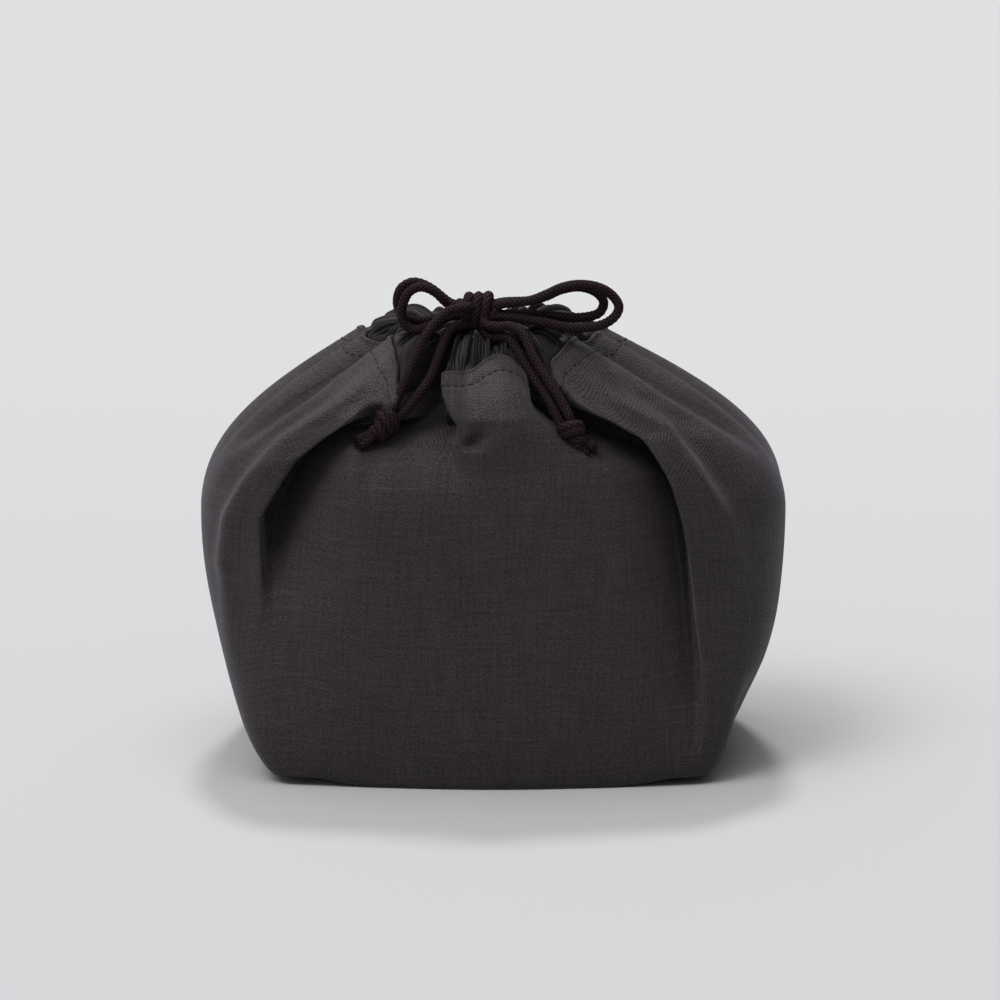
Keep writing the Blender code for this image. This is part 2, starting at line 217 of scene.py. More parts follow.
def braid_material():
    """Height = |cos 2 pi u - cos 2 pi v| / 2 + yarn depth * sin(slanting yarns); it also sets the
    colour, painted shade where the braid dips.
    """
    made, tree, shader = new_material("braided_cord", roughness=0.70, specular=0.18)
    u, v = flat_coordinates(tree)
    turn_wave = sum_node(tree, "COSINE", sum_node(tree, "MULTIPLY", u, 2 * math.pi))
    long_wave = sum_node(tree, "COSINE", sum_node(tree, "MULTIPLY", v, 2 * math.pi))
    bump = sum_node(tree, "ABSOLUTE", sum_node(tree, "SUBTRACT", turn_wave, long_wave))
    bump = sum_node(tree, "MULTIPLY", bump, 0.5)
    slant = sum_node(tree, "MULTIPLY", sum_node(tree, "ADD", u, v), 2 * math.pi * YARNS_PER_BUMP)
    yarn = sum_node(tree, "MULTIPLY", sum_node(tree, "SINE", slant), YARN_DEPTH)
    height = sum_node(tree, "ADD", bump, yarn)
    # The colour follows the height, so the hollows carry painted shade.
    wire_colour_and_bump(tree, shader, height, CORD_DARK, CORD_LIGHT, height, 0.6, 0.00035)
    return made


cord_finish = braid_material()

# %% Braided cord: a profile carried along a path
CORD_RADIUS = 0.00198
BRAID_BUMPS_AROUND = 6
BRAID_PITCH = 0.0019
BRAID_RELIEF = 0.11
CORD_SIDES = 30
CORD_STEP = 0.00040


def distances(path):
    """Distance along a path at each of its points, from 0 at the first."""
    steps = np.linalg.norm(np.diff(path, axis=0), axis=1)
    return np.concatenate([[0.0], np.cumsum(steps)])


def points_at(wanted, along, points):
    """Points read at the wanted distances, from points that lie at the distances along."""
    return np.stack([np.interp(wanted, along, points[:, k]) for k in range(3)], axis=-1)


def smooth_path(points, step):
    """Points at even steps along the Catmull-Rom curve through the given ones."""
    points = np.array(points)
    ends = np.vstack([2 * points[0] - points[1], points, 2 * points[-1] - points[-2]])
    a, b, c, d = ends[:-3, None], ends[1:-2, None], ends[2:-1, None], ends[3:, None]
    t = np.linspace(0.0, 1.0, 60, endpoint=False)[None, :, None]
    fine = 0.5 * (2 * b + (c - a) * t + (2 * a - 5 * b + 4 * c - d) * t**2
                  + (3 * b - a - 3 * c + d) * t**3)
    fine = np.vstack([fine.reshape(-1, 3), points[-1:]])
    along = distances(fine)
    wanted = np.linspace(0.0, along[-1], max(int(along[-1] / step), 4) + 1)
    return points_at(wanted, along, fine)


def unit(vectors):
    """Vectors of length one in the same directions."""
    return vectors / np.maximum(np.linalg.norm(vectors, axis=-1, keepdims=True), 1e-12)


def tube_skin(path, radius, reference, sides=CORD_SIDES, relief=BRAID_RELIEF, spin=0.0):
    """A braided tube: path + r (cos a * side + sin a * up).

    r = radius (1 - relief (1 - bump)), and bump = |cos 2 pi u - cos 2 pi v| / 2, with u the
    number of bumps passed round the tube and v the number passed along it. side and up stand
    square to the path, up as near as it can to the reference direction.
    """
    tangent = unit(np.gradient(path, axis=0))
    reference = np.broadcast_to(np.array(reference, dtype=float), path.shape)
    up = unit(reference - (reference * tangent).sum(axis=1, keepdims=True) * tangent)
    side = np.cross(up, tangent)
    angle = np.linspace(0.0, 2 * math.pi, sides, endpoint=False)[None, :]
    u = BRAID_BUMPS_AROUND * (angle / (2 * math.pi) + spin)
    v = (distances(path) / BRAID_PITCH)[:, None]
    bump = np.abs(np.cos(2 * math.pi * u) - np.cos(2 * math.pi * v)) / 2
    r = np.reshape(radius, (-1, 1)) * (1.0 - relief * (1.0 - bump))
    points = (path[:, None, :] + (r * np.cos(angle))[..., None] * side[:, None, :]
              + (r * np.sin(angle))[..., None] * up[:, None, :])
    u_all = np.append(u[0], u[0, 0] + BRAID_BUMPS_AROUND)
    flat = np.stack(np.broadcast_arrays(u_all[None, :], v), axis=-1)
    return grid_skin(points, flat, closed=True, close_ends=True)


# %% [markdown]
# Two cords run in the collar, and each comes out doubled on its own side. So the bow has four
# strands: each rises out of the gather, passes through the knot, makes its loop, goes back through
# the knot and hangs down to its end knot. Their routes are chosen to follow the real bow, where no
# two curves are alike. Limp cord of this size lies in round loops and hangs close to the cloth. The
# stretches inside the knot are hidden by its wraps.

# %% The four strands: routes
LEFT_FRONT_START = (
    (-0.0120, -0.0262, 0.1770), (-0.0112, -0.0290, 0.1815), (-0.0125, -0.0330, 0.1868),
)
LEFT_FRONT_LOOP = (
    (-0.0182, -0.0360, 0.1894), (-0.0233, -0.0370, 0.1943), (-0.0288, -0.0375, 0.1964),
    (-0.0335, -0.0370, 0.1942), (-0.0359, -0.0365, 0.1894), (-0.0366, -0.0360, 0.1846),
    (-0.0348, -0.0360, 0.1808), (-0.0305, -0.0360, 0.1790), (-0.0240, -0.0359, 0.1812),
    (-0.0180, -0.0358, 0.1842),
)
LEFT_FRONT_TURN = (
    (-0.0125, -0.0352, 0.1858), (-0.0092, -0.0366, 0.1876), (-0.0108, -0.0394, 0.1888),
)
LEFT_FRONT_TAIL = (
    (-0.0145, -0.0409, 0.1884), (-0.0185, -0.0422, 0.1874), (-0.0226, -0.0442, 0.1840),
    (-0.0259, -0.0460, 0.1800), (-0.0290, -0.0476, 0.1748), (-0.0317, -0.0491, 0.1686),
    (-0.0344, -0.0505, 0.1626), (-0.0370, -0.0518, 0.1570), (-0.0391, -0.0527, 0.1518),
    (-0.0404, -0.0529, 0.1478),
)
LEFT_BACK_START = (
    (-0.0130, -0.0240, 0.1765), (-0.0120, -0.0262, 0.1818), (-0.0132, -0.0296, 0.1868),
)
LEFT_BACK_LOOP = (
    (-0.0182, -0.0312, 0.1894), (-0.0254, -0.0312, 0.1950), (-0.0317, -0.0312, 0.1972),
    (-0.0366, -0.0313, 0.1948), (-0.0382, -0.0314, 0.1898), (-0.0370, -0.0315, 0.1852),
    (-0.0332, -0.0315, 0.1822), (-0.0265, -0.0314, 0.1818), (-0.0178, -0.0312, 0.1840),
)
LEFT_BACK_TURN = (
    (-0.0120, -0.0318, 0.1842), (-0.0098, -0.0344, 0.1830), (-0.0118, -0.0376, 0.1818),
)
LEFT_BACK_TAIL = (
    (-0.0152, -0.0391, 0.1812), (-0.0179, -0.0414, 0.1796), (-0.0198, -0.0442, 0.1760),
    (-0.0221, -0.0468, 0.1699), (-0.0247, -0.0492, 0.1634), (-0.0280, -0.0510, 0.1584),
    (-0.0318, -0.0522, 0.1536), (-0.0354, -0.0530, 0.1494), (-0.0388, -0.0531, 0.1462),
)
RIGHT_FRONT_START = (
    (-0.0030, -0.0262, 0.1770), (-0.0036, -0.0290, 0.1815), (-0.0020, -0.0330, 0.1868),
)
RIGHT_FRONT_LOOP = (
    (0.0031, -0.0360, 0.1894), (0.0135, -0.0356, 0.1906), (0.0201, -0.0344, 0.1928),
    (0.0264, -0.0330, 0.1954), (0.0331, -0.0320, 0.1964), (0.0402, -0.0315, 0.1954),
    (0.0458, -0.0310, 0.1922), (0.0488, -0.0310, 0.1874), (0.0465, -0.0325, 0.1830),
    (0.0402, -0.0340, 0.1802), (0.0300, -0.0356, 0.1798), (0.0201, -0.0362, 0.1818),
    (0.0111, -0.0364, 0.1834), (0.0031, -0.0362, 0.1842),
)
RIGHT_FRONT_TURN = (
    (-0.0022, -0.0360, 0.1842), (-0.0040, -0.0376, 0.1830), (-0.0024, -0.0395, 0.1816),
)
RIGHT_FRONT_TAIL = (
    (0.0010, -0.0403, 0.1812), (0.0064, -0.0420, 0.1816), (0.0110, -0.0442, 0.1790),
    (0.0134, -0.0468, 0.1744), (0.0165, -0.0496, 0.1686), (0.0204, -0.0524, 0.1630),
    (0.0243, -0.0550, 0.1572), (0.0274, -0.0568, 0.1520), (0.0289, -0.0578, 0.1492),
    (0.0300, -0.0580, 0.1458),
)
RIGHT_BACK_START = (
    (-0.0020, -0.0240, 0.1765), (-0.0034, -0.0262, 0.1818), (-0.0022, -0.0290, 0.1868),
)
RIGHT_BACK_LOOP = (
    (0.0031, -0.0312, 0.1892), (0.0135, -0.0302, 0.1896), (0.0202, -0.0292, 0.1912),
    (0.0257, -0.0282, 0.1935), (0.0324, -0.0272, 0.1946), (0.0384, -0.0266, 0.1932),
    (0.0423, -0.0265, 0.1900), (0.0427, -0.0270, 0.1866), (0.0399, -0.0282, 0.1837),
    (0.0320, -0.0295, 0.1827), (0.0233, -0.0306, 0.1836), (0.0135, -0.0314, 0.1844),
    (0.0031, -0.0314, 0.1844),
)
RIGHT_BACK_TURN = (
    (-0.0028, -0.0316, 0.1836), (-0.0052, -0.0332, 0.1806), (-0.0038, -0.0358, 0.1780),
)
RIGHT_BACK_TAIL = (
    (-0.0012, -0.0377, 0.1768), (0.0046, -0.0405, 0.1770), (0.0084, -0.0438, 0.1734),
    (0.0118, -0.0468, 0.1680), (0.0156, -0.0498, 0.1624), (0.0196, -0.0530, 0.1568),
    (0.0230, -0.0558, 0.1514), (0.0257, -0.0578, 0.1462), (0.0284, -0.0584, 0.1432),
)

Strand = namedtuple("Strand", "name route length nodes end_node")
STRANDS = (
    Strand("left_strand_front", LEFT_FRONT_START + LEFT_FRONT_LOOP + LEFT_FRONT_TURN
           + LEFT_FRONT_TAIL, 0.150, ("left_loop_front", "left_tail_outer"), "left_end_knot"),
    Strand("left_strand_back", LEFT_BACK_START + LEFT_BACK_LOOP + LEFT_BACK_TURN
           + LEFT_BACK_TAIL, 0.140, ("left_loop_back", "left_tail_inner"), "left_end_knot"),
    Strand("right_strand_front", RIGHT_FRONT_START + RIGHT_FRONT_LOOP + RIGHT_FRONT_TURN
           + RIGHT_FRONT_TAIL, 0.195, ("right_loop_front", "right_tail_outer"), "right_end_knot"),
    Strand("right_strand_back", RIGHT_BACK_START + RIGHT_BACK_LOOP + RIGHT_BACK_TURN
           + RIGHT_BACK_TAIL, 0.180, ("right_loop_back", "right_tail_inner"), "right_end_knot"),
)

# %% The four strands: tubes
DEPTH_DIRECTION = (0.0, 1.0, 0.0)

strand_pieces = {}
strand_paths = {}
for strand in STRANDS:
    path = smooth_path(strand.route, CORD_STEP)
    radius = np.full(len(path), CORD_RADIUS)
    skin = tube_skin(path, radius, DEPTH_DIRECTION, spin=0.3)
    strand_pieces[strand.name] = make_piece(strand.name, [skin], cord_finish)
    strand_paths[strand.name] = path
    print(strand.name, "is", round(distances(path)[-1] * 1000), "mm long")

# %% [markdown]
# The bow's knot is the same cord wound round the strands that pass through it. A spiral round a
# line from left to right gives the wraps, each a little different in size and lean. A core of cord
# inside it closes the view between the wraps, as the strands in the real knot do.

# %% The bow's knot
KNOT_MIDDLE = np.array((-0.0070, -0.0330, 0.1858))
KNOT_HALF_WIDTH = 0.0073
KNOT_HALF_DEPTH = 0.0034
KNOT_HALF_HEIGHT = 0.0062
KNOT_TURNS = 3.9
KNOT_TUCK = 0.75
KNOT_TUCK_REACH = 0.035
KNOT_UNEVENNESS = 0.06
KNOT_LEAN = 0.0006
WRAP_RADIUS = 0.00222
RIGHTWARDS = (1.0, 0.0, 0.0)
CORE_HALF_LENGTH = 0.0080
CORE_RADIUS = 0.0046
CORE_DEPTH_SHARE = 0.70
CORE_HEIGHT_SHARE = 1.25


def tucked(share, depth, reach):
    """1 between the ends of a spiral, and less by depth at each end, where it tucks in."""
    return 1.0 - depth * np.exp(-share / reach) - depth * np.exp(-(1.0 - share) / reach)


def knot_wraps():
    """Spiral: x goes evenly left to right, y and z go round an oval that tucks in at both ends."""
    share = np.linspace(0.0, 1.0, 360)
    turn = 2 * math.pi * KNOT_TURNS * share + 0.5 * math.pi
    tuck = tucked(share, KNOT_TUCK, KNOT_TUCK_REACH)
    wobble = 1.0 + KNOT_UNEVENNESS * np.sin(2.1 * turn + 0.7)
    lean = KNOT_LEAN * np.sin(turn + 0.4)
    x = KNOT_HALF_WIDTH * (2 * share - 1) + lean
    y = -KNOT_HALF_DEPTH * tuck * wobble * np.cos(turn)
    z = KNOT_HALF_HEIGHT * tuck * wobble * np.sin(turn)
    path = KNOT_MIDDLE + np.stack([x, y, z], axis=1)
    return tube_skin(path, np.full(len(path), WRAP_RADIUS), RIGHTWARDS)


def knot_core():
    """A plug that fills the spiral: a tube with rounded ends, flatter in depth and taller."""
    share = np.linspace(-1.0, 1.0, 60)
    path = KNOT_MIDDLE + np.outer(share * CORE_HALF_LENGTH, RIGHTWARDS)
    round_end = np.sqrt(np.clip(1.0 - share**6, 0.002, 1.0))
    skin = tube_skin(path, CORE_RADIUS * round_end, DEPTH_DIRECTION)
    scale = np.array((1.0, CORE_DEPTH_SHARE, CORE_HEIGHT_SHARE))
    return Skin(KNOT_MIDDLE + (skin.points - KNOT_MIDDLE) * scale, skin.faces, skin.corners)


bow_knot_piece = make_piece("bow_wraps", [knot_wraps(), knot_core()], cord_finish)

# %% [markdown]
# Each pair of tails ends in one overhand knot with its ends left to fray. The knot is two turns of
# cord drawn tight round the strands, then a smaller lump where the ends come out. Each frayed end
# is a short stub with loose yarns: thin curved tubes that fan out from the cut.

# %% The end knots
EndKnot = namedtuple("EndKnot", "name node start end tuft_ways stub_length seed")
END_KNOTS = (
    EndKnot("left_end_wraps", "left_end_knot", (-0.0395, -0.0530, 0.1492),
            (-0.0466, -0.0540, 0.1404), ((-0.88, -0.04, -0.42), (-0.74, -0.14, -0.64)),
            0.0100, 11),
    EndKnot("right_end_wraps", "right_end_knot", (0.0286, -0.0576, 0.1462),
            (0.0340, -0.0592, 0.1372), ((0.88, -0.10, -0.34), (0.50, -0.16, -0.82)),
            0.0065, 12),
)
END_WRAP_RADIUS = 0.00205
END_WRAP_REACH = 0.0035
END_TUCK = 0.6
END_TUCK_REACH = 0.06
END_TILT = 0.0011

# first and last share of the knot's length, reach, turns, phase
END_LUMPS = (
    (0.02, 0.50, END_WRAP_REACH, 2.1, 0.4),
    (0.62, 0.98, END_WRAP_REACH * 0.62, 1.3, 2.2),
)
TUFT_ROOT_SHARE = 0.70
TUFT_UP = (0.0, 0.3, 1.0)
TUFT_STUB_STATIONS = 24
TUFT_FIBRES = 34
FIBRE_LENGTH = 0.0026
FIBRE_RADIUS = 0.00020
FIBRE_FOOT_SHARE = 0.9
FIBRE_LENGTH_SHARES = (0.45, 1.1)
FIBRE_SPLAYS = (0.1, 0.75)
FIBRE_DROP = 0.25
FIBRE_TAPER = 0.5


def end_spiral(start, end, first, last, reach, turns, phase):
    """Spiral round the line from start to end, between two shares of its length."""
    axis = unit(end - start)
    across = unit(np.cross(axis, np.array(DEPTH_DIRECTION)))
    deep = np.cross(across, axis)
    share = np.linspace(0.0, 1.0, 150)
    turn = 2 * math.pi * turns * share + phase
    tuck = tucked(share, END_TUCK, END_TUCK_REACH)
    place = start + np.outer(first + (last - first) * share, end - start)
    tilt = END_TILT * np.sin(turn + 0.6)
    path = (place + np.outer(reach * tuck * np.cos(turn), across)
            + np.outer(reach * tuck * np.sin(turn), deep) + np.outer(tilt, axis))
    return tube_skin(path, np.full(len(path), END_WRAP_RADIUS), axis)


def tuft_skins(root, way, stub_length, chance):
    """A cord end that comes apart: a short stub, and fibres that curve away from its cut."""
    way = unit(np.array(way))
    share = np.linspace(0.0, 1.0, TUFT_STUB_STATIONS)
    stub = root + np.outer(share, way * stub_length)
    widening = CORD_RADIUS * (0.92 + 0.10 * share**2)
    skins = [tube_skin(stub, widening, TUFT_UP)]
    side = unit(np.cross(way, TUFT_UP))
    up = np.cross(side, way)
    for _ in range(TUFT_FIBRES):
        turn = chance.uniform(0.0, 2 * math.pi)
        out = math.sqrt(chance.uniform(0.0, 1.0))
        away = math.cos(turn) * side + math.sin(turn) * up
        foot = stub[-2] + away * out * CORD_RADIUS * FIBRE_FOOT_SHARE
        length = FIBRE_LENGTH * chance.uniform(*FIBRE_LENGTH_SHARES)
        t = np.linspace(0.0, 1.0, 6)[:, None]
        splay = chance.uniform(*FIBRE_SPLAYS) * out
        drop = np.array((0.0, 0.0, -FIBRE_DROP * length))
        fibre = foot + t * length * (way + splay * away * t) + t**2 * drop
        taper = FIBRE_RADIUS * (1.0 - FIBRE_TAPER * t[:, 0])
        skins.append(tube_skin(fibre, taper, (0.1, 0.3, 1.0), sides=5, relief=0.0))
    return skins


end_knot_pieces = {}
for knot in END_KNOTS:
    start = np.array(knot.start)
    end = np.array(knot.end)
    chance = np.random.default_rng(knot.seed)
    skins = [end_spiral(start, end, *lump) for lump in END_LUMPS]
    root = start + (end - start) * TUFT_ROOT_SHARE
    for way in knot.tuft_ways:
        skins.extend(tuft_skins(root, way, knot.stub_length, chance))
    end_knot_pieces[knot.node] = make_piece(knot.name, skins, cord_finish)

# %% [markdown]
# The body is one bag of canvas. Its smooth form is a stack of rounded rectangles: nearly square at
# the base seam, widest half way up, and small at the hem. The drawn cord gathers the hem, and that
# makes the folds, so each fold is a row of numbers: where it runs at each height, how deep it is,
# and how far it spreads to each side. A cloth simulation could find folds of this kind, but not
# these ones.

# %% Canvas body: smooth form
BASE_WIDTH = 0.1746
BASE_CENTRE_X = -0.0017
FLARE_POWER = 0.80
BASE_DEPTH = 0.120
BASE_SQUARENESS = 7.0
CORNER_SHARPNESS = 14.0
CORNER_REACH = 0.028
CORNER_LIFT = 0.0035
WIDEST_WIDTH = 0.235
WIDEST_DEPTH = 0.134
WIDEST_HEIGHT = 0.104
WIDEST_SQUARENESS = 3.0
HEM_WIDTH = 0.104
HEM_DEPTH = 0.074
HEM_HEIGHT = 0.1735
HEM_SQUARENESS = 2.2
HEM_CENTRE = (-0.0050, -0.0030)
SHOULDER_FULLNESS = 3.1
SHOULDER_SLOPE = 1.1
ROUNDING_POWER = 0.7
FRONT_BOW = 0.0062
FRONT_BOW_REACH = 0.052


def ease(amount):
    """0 to 1 with level ends: 3a^2 - 2a^3."""
    amount = np.clip(amount, 0.0, 1.0)
    return amount * amount * (3.0 - 2.0 * amount)


def body_section(height):
    """Half width, half depth, squareness and centre of the smooth pouch, for an array of heights.

    Below the widest place width and depth grow with sin(pi / 2 * h^flare), h the share of the way
    up to it. Above it the width falls with (1 - a^2)^slope and the depth with 1 - a^fullness, a
    the share of the way from there to the hem.
    """
    below = np.sin(math.pi / 2 * np.clip(height / WIDEST_HEIGHT, 0.0, 1.0) ** FLARE_POWER)
    above = np.clip(height - WIDEST_HEIGHT, 0.0, None) / (HEM_HEIGHT - WIDEST_HEIGHT)
    above = np.clip(above, 0.0, 1.0)
    low_width = BASE_WIDTH + (WIDEST_WIDTH - BASE_WIDTH) * below
    low_depth = BASE_DEPTH + (WIDEST_DEPTH - BASE_DEPTH) * below
    rounding = below**ROUNDING_POWER
    low_square = BASE_SQUARENESS + (WIDEST_SQUARENESS - BASE_SQUARENESS) * rounding
    low_square = low_square + CORNER_SHARPNESS * np.exp(-height / CORNER_REACH) * (1.0 - below)
    high_width = HEM_WIDTH + (WIDEST_WIDTH - HEM_WIDTH) * (1 - above**2) ** SHOULDER_SLOPE
    high_depth = HEM_DEPTH + (WIDEST_DEPTH - HEM_DEPTH) * (1 - above**SHOULDER_FULLNESS)
    high_square = WIDEST_SQUARENESS + (HEM_SQUARENESS - WIDEST_SQUARENESS) * above
    is_high = height > WIDEST_HEIGHT
    half_width = np.where(is_high, high_width, low_width) / 2
    half_depth = np.where(is_high, high_depth, low_depth) / 2
    squareness = np.where(is_high, high_square, low_square)
    drift = above**2
    centre_x = HEM_CENTRE[0] * drift + BASE_CENTRE_X * (1.0 - below)
    return half_width, half_depth, squareness, centre_x, HEM_CENTRE[1] * drift


def section_radius(azimuth, half_width, half_depth, squareness):
    """Radius of a superellipse at an azimuth, 0 in front and positive to the right."""
    across = np.abs(np.sin(azimuth)) / half_width
    deep = np.abs(np.cos(azimuth)) / half_depth
    return (across**squareness + deep**squareness) ** (-1.0 / squareness)


# %% [markdown]
# The hollows in front are the pouch's character, so they are given by their edges: at each
# height, the azimuth where the cloth turns in on the left and where it comes out on the right.
# Everything else is a fold with one middle line. Heights and sizes are in metres, and azimuths
# in degrees, 0 in front.

# %% Canvas body: hollows with two edges
Hollow = namedtuple("Hollow", "heights lefts rights depths soft_left soft_right lip lean ramp back")

# A lip is the edge that hangs over the hollow: +1 the right one, -1 the left one. From the other
# edge the cloth goes in with a power, the ramp, so it turns slowly there and steeply by the lip.
# A hollow goes in towards the pouch's middle line, or by the share "back" straight backwards and
# a little under its lip.
HOLLOWS = (
    # The pocket under the left tails, closed below by the swelling front panel
    Hollow((0.112, 0.120, 0.128, 0.134, 0.139, 0.142, 0.146, 0.151, 0.160, 0.1735),
           (-40, -40, -41, -42, -43.5, -44.5, -41, -37, -34.5, -38),
           (-4, -4, -4.5, -7, -10.5, -10, -11, -14.5, -18.5, -20),
           (0.0, 0.0012, 0.0040, 0.0075, 0.0120, 0.0165, 0.0220, 0.0265, 0.0290, 0.0270),
           (0.0045,) * 10,
           (0.0120, 0.0110, 0.0100, 0.0090, 0.0075, 0.0060, 0.0050, 0.0048, 0.0045, 0.0040),
           -1, 0.0020, 1.7, 0.0),
    # The valley that runs from that pocket down to the left
    Hollow((0.045, 0.064, 0.077, 0.090, 0.107, 0.123, 0.131, 0.139, 0.145, 0.153),
           (-58, -59.5, -60.5, -61, -61, -57.5, -55.5, -52, -48.5, -44),
           (-36, -35, -34, -33, -32, -32, -32, -32, -32, -31),
           (0.0, 0.0018, 0.0050, 0.0105, 0.0180, 0.0240, 0.0250, 0.0240, 0.0170, 0.0),
           (0.0120, 0.0110, 0.0095, 0.0070, 0.0050, 0.0042, 0.0042, 0.0042, 0.0042, 0.0042),
           (0.0340, 0.0370, 0.0390, 0.0400, 0.0400, 0.0330, 0.0290, 0.0210, 0.0150, 0.0100),
           -1, 0.0034, 2.4, 1.0),
    # The great valley on the right, whose right edge is a sharp lip down to the base
    Hollow((0.008, 0.029, 0.051, 0.077, 0.093, 0.110, 0.124, 0.129, 0.133, 0.137, 0.140, 0.146,
            0.150, 0.155, 0.160, 0.166, 0.1735),
           (38, 37, 36, 35.5, 35, 34, 33, 30, 26, 23, 20.5, 17.5, 16.5, 16, 17, 18, 19),
           (54, 54.5, 55, 54, 53, 51.5, 50.3, 49.6, 49, 48.5, 47.8, 43.2, 38.5, 34.5, 32.5, 33.5,
            34.5),
           (0.0, 0.0035, 0.0070, 0.0120, 0.0160, 0.0205, 0.0225, 0.0230, 0.0240, 0.0250, 0.0260,
            0.0285, 0.0300, 0.0310, 0.0310, 0.0300, 0.0280),
           (0.0250, 0.0260, 0.0270, 0.0270, 0.0270, 0.0265, 0.0240, 0.0230, 0.0210, 0.0160,
            0.0110, 0.0060, 0.0050, 0.0048, 0.0045, 0.0040, 0.0040),
           (0.0034,) * 17, 1, 0.0034, 2.4, 1.0),
)
BACK_UP_TO = 0.138
BACK_FADES_OVER = 0.018
UNDER_LIP = 0.15
LIP_REACH = 0.0045
LIP_FULL_DEPTH = 0.010

# %% Canvas body: folds with one middle line
Fold = namedtuple("Fold", "heights azimuths depths left right power")

# A negative depth is a ridge.
FOLDS = (
    # Between the flaps at the sides and at the back
    Fold((0.127, 0.138, 0.152, 0.1735), (76, 73, 69, 67),
         (0.0, 0.0060, 0.0110, 0.0140), 0.0060, 0.0060, 1.5),
    Fold((0.095, 0.125, 0.150, 0.1735), (106, 106, 105, 105),
         (0.0, 0.0070, 0.0130, 0.0150), 0.0075, 0.0075, 1.6),
    Fold((0.055, 0.100, 0.140, 0.1735), (134, 137, 142, 146),
         (0.0, 0.0080, 0.0160, 0.0190), 0.0070, 0.0100, 1.6),
    Fold((0.085, 0.120, 0.150, 0.1735), (178, 179, 180, 181),
         (0.0, 0.0090, 0.0160, 0.0180), 0.0080, 0.0080, 1.6),
    Fold((0.055, 0.100, 0.140, 0.1735), (-132, -135, -140, -144),
         (0.0, 0.0080, 0.0160, 0.0190), 0.0100, 0.0070, 1.6),
    Fold((0.095, 0.125, 0.150, 0.1735), (-106, -106, -106, -106),
         (0.0, 0.0070, 0.0130, 0.0150), 0.0075, 0.0075, 1.6),
    Fold((0.127, 0.138, 0.152, 0.1735), (-76, -73, -69, -67),
         (0.0, 0.0060, 0.0110, 0.0140), 0.0060, 0.0060, 1.5),
    # Further layers of the gathered sides, seen edge on from the front
    Fold((0.120, 0.140, 0.160, 0.1735), (84, 84, 84, 84),
         (0.0, 0.0035, 0.0060, 0.0070), 0.0045, 0.0045, 1.6),
    Fold((0.120, 0.140, 0.160, 0.1735), (-84, -84, -84, -84),
         (0.0, 0.0035, 0.0060, 0.0070), 0.0045, 0.0045, 1.6),
    # The ridge along the outer edge of the left valley, and the slack beyond it
    Fold((0.045, 0.077, 0.088, 0.106, 0.122, 0.130, 0.138, 0.145, 0.153, 0.160, 0.170),
         (-65, -65.5, -66.5, -65, -61.5, -59, -57, -54.5, -50, -48, -46),
         (0.0, -0.0030, -0.0045, -0.0060, -0.0075, -0.0080, -0.0080, -0.0070, -0.0055, -0.0035, 0.0),
         0.0070, 0.0045, 2.0),
    Fold((0.112, 0.119, 0.127, 0.136, 0.144, 0.152, 0.159, 0.168),
         (-70, -69.5, -69, -67, -62.5, -58, -56, -54),
         (0.0, 0.0020, 0.0035, 0.0045, 0.0050, 0.0045, 0.0030, 0.0), 0.0065, 0.0065, 2.0),
    # The edge of the right flap, and the slack beyond it
    Fold((0.060, 0.090, 0.108, 0.123, 0.131, 0.139, 0.145, 0.153, 0.165),
         (58, 60, 57, 54.5, 53.5, 52.3, 51.5, 46.5, 42),
         (0.0, -0.0020, -0.0035, -0.0045, -0.0045, -0.0045, -0.0045, -0.0035, 0.0),
         0.0040, 0.0060, 2.0),
    Fold((0.112, 0.122, 0.130, 0.138, 0.144, 0.152, 0.162), (61.5, 60.5, 60, 59, 60.5, 57, 55),
         (0.0, 0.0025, 0.0035, 0.0040, 0.0040, 0.0035, 0.0), 0.0065, 0.0065, 2.0),
    # The curl that ends the pocket under the left corner of the centre flap
    Fold((0.1360, 0.1395, 0.1425, 0.1490), (-7, -6, -4, -2),
         (0.0, 0.0045, 0.0040, 0.0), 0.0040, 0.0035, 2.0),
    # The centre flap swells between its two hollows
    Fold((0.128, 0.140, 0.149, 0.157, 0.166, 0.1735), (4, 3, 1, 0, -1, -1),
         (0.0, -0.0045, -0.0075, -0.0065, -0.0030, 0.0), 0.0150, 0.0130, 2.2),
    # The kink low on the right gusset
    Fold((0.004, 0.018, 0.030, 0.045), (63, 65, 66, 67),
         (0.0, 0.0040, 0.0045, 0.0), 0.0080, 0.0120, 2.0),
    # A soft dent low on the left of the front panel
    Fold((0.010, 0.028, 0.050, 0.068), (-50, -51, -52, -53),
         (0.0, 0.0016, 0.0018, 0.0), 0.0120, 0.0160, 2.0),
)


def turned(angle):
    """The same angle between -pi and pi."""
    return np.angle(np.exp(1j * angle))


def across_cloth(azimuth, degrees, radius):
    """Distance along the cloth from a line at the azimuth given in degrees."""
    return turned(azimuth - np.radians(degrees)) * radius


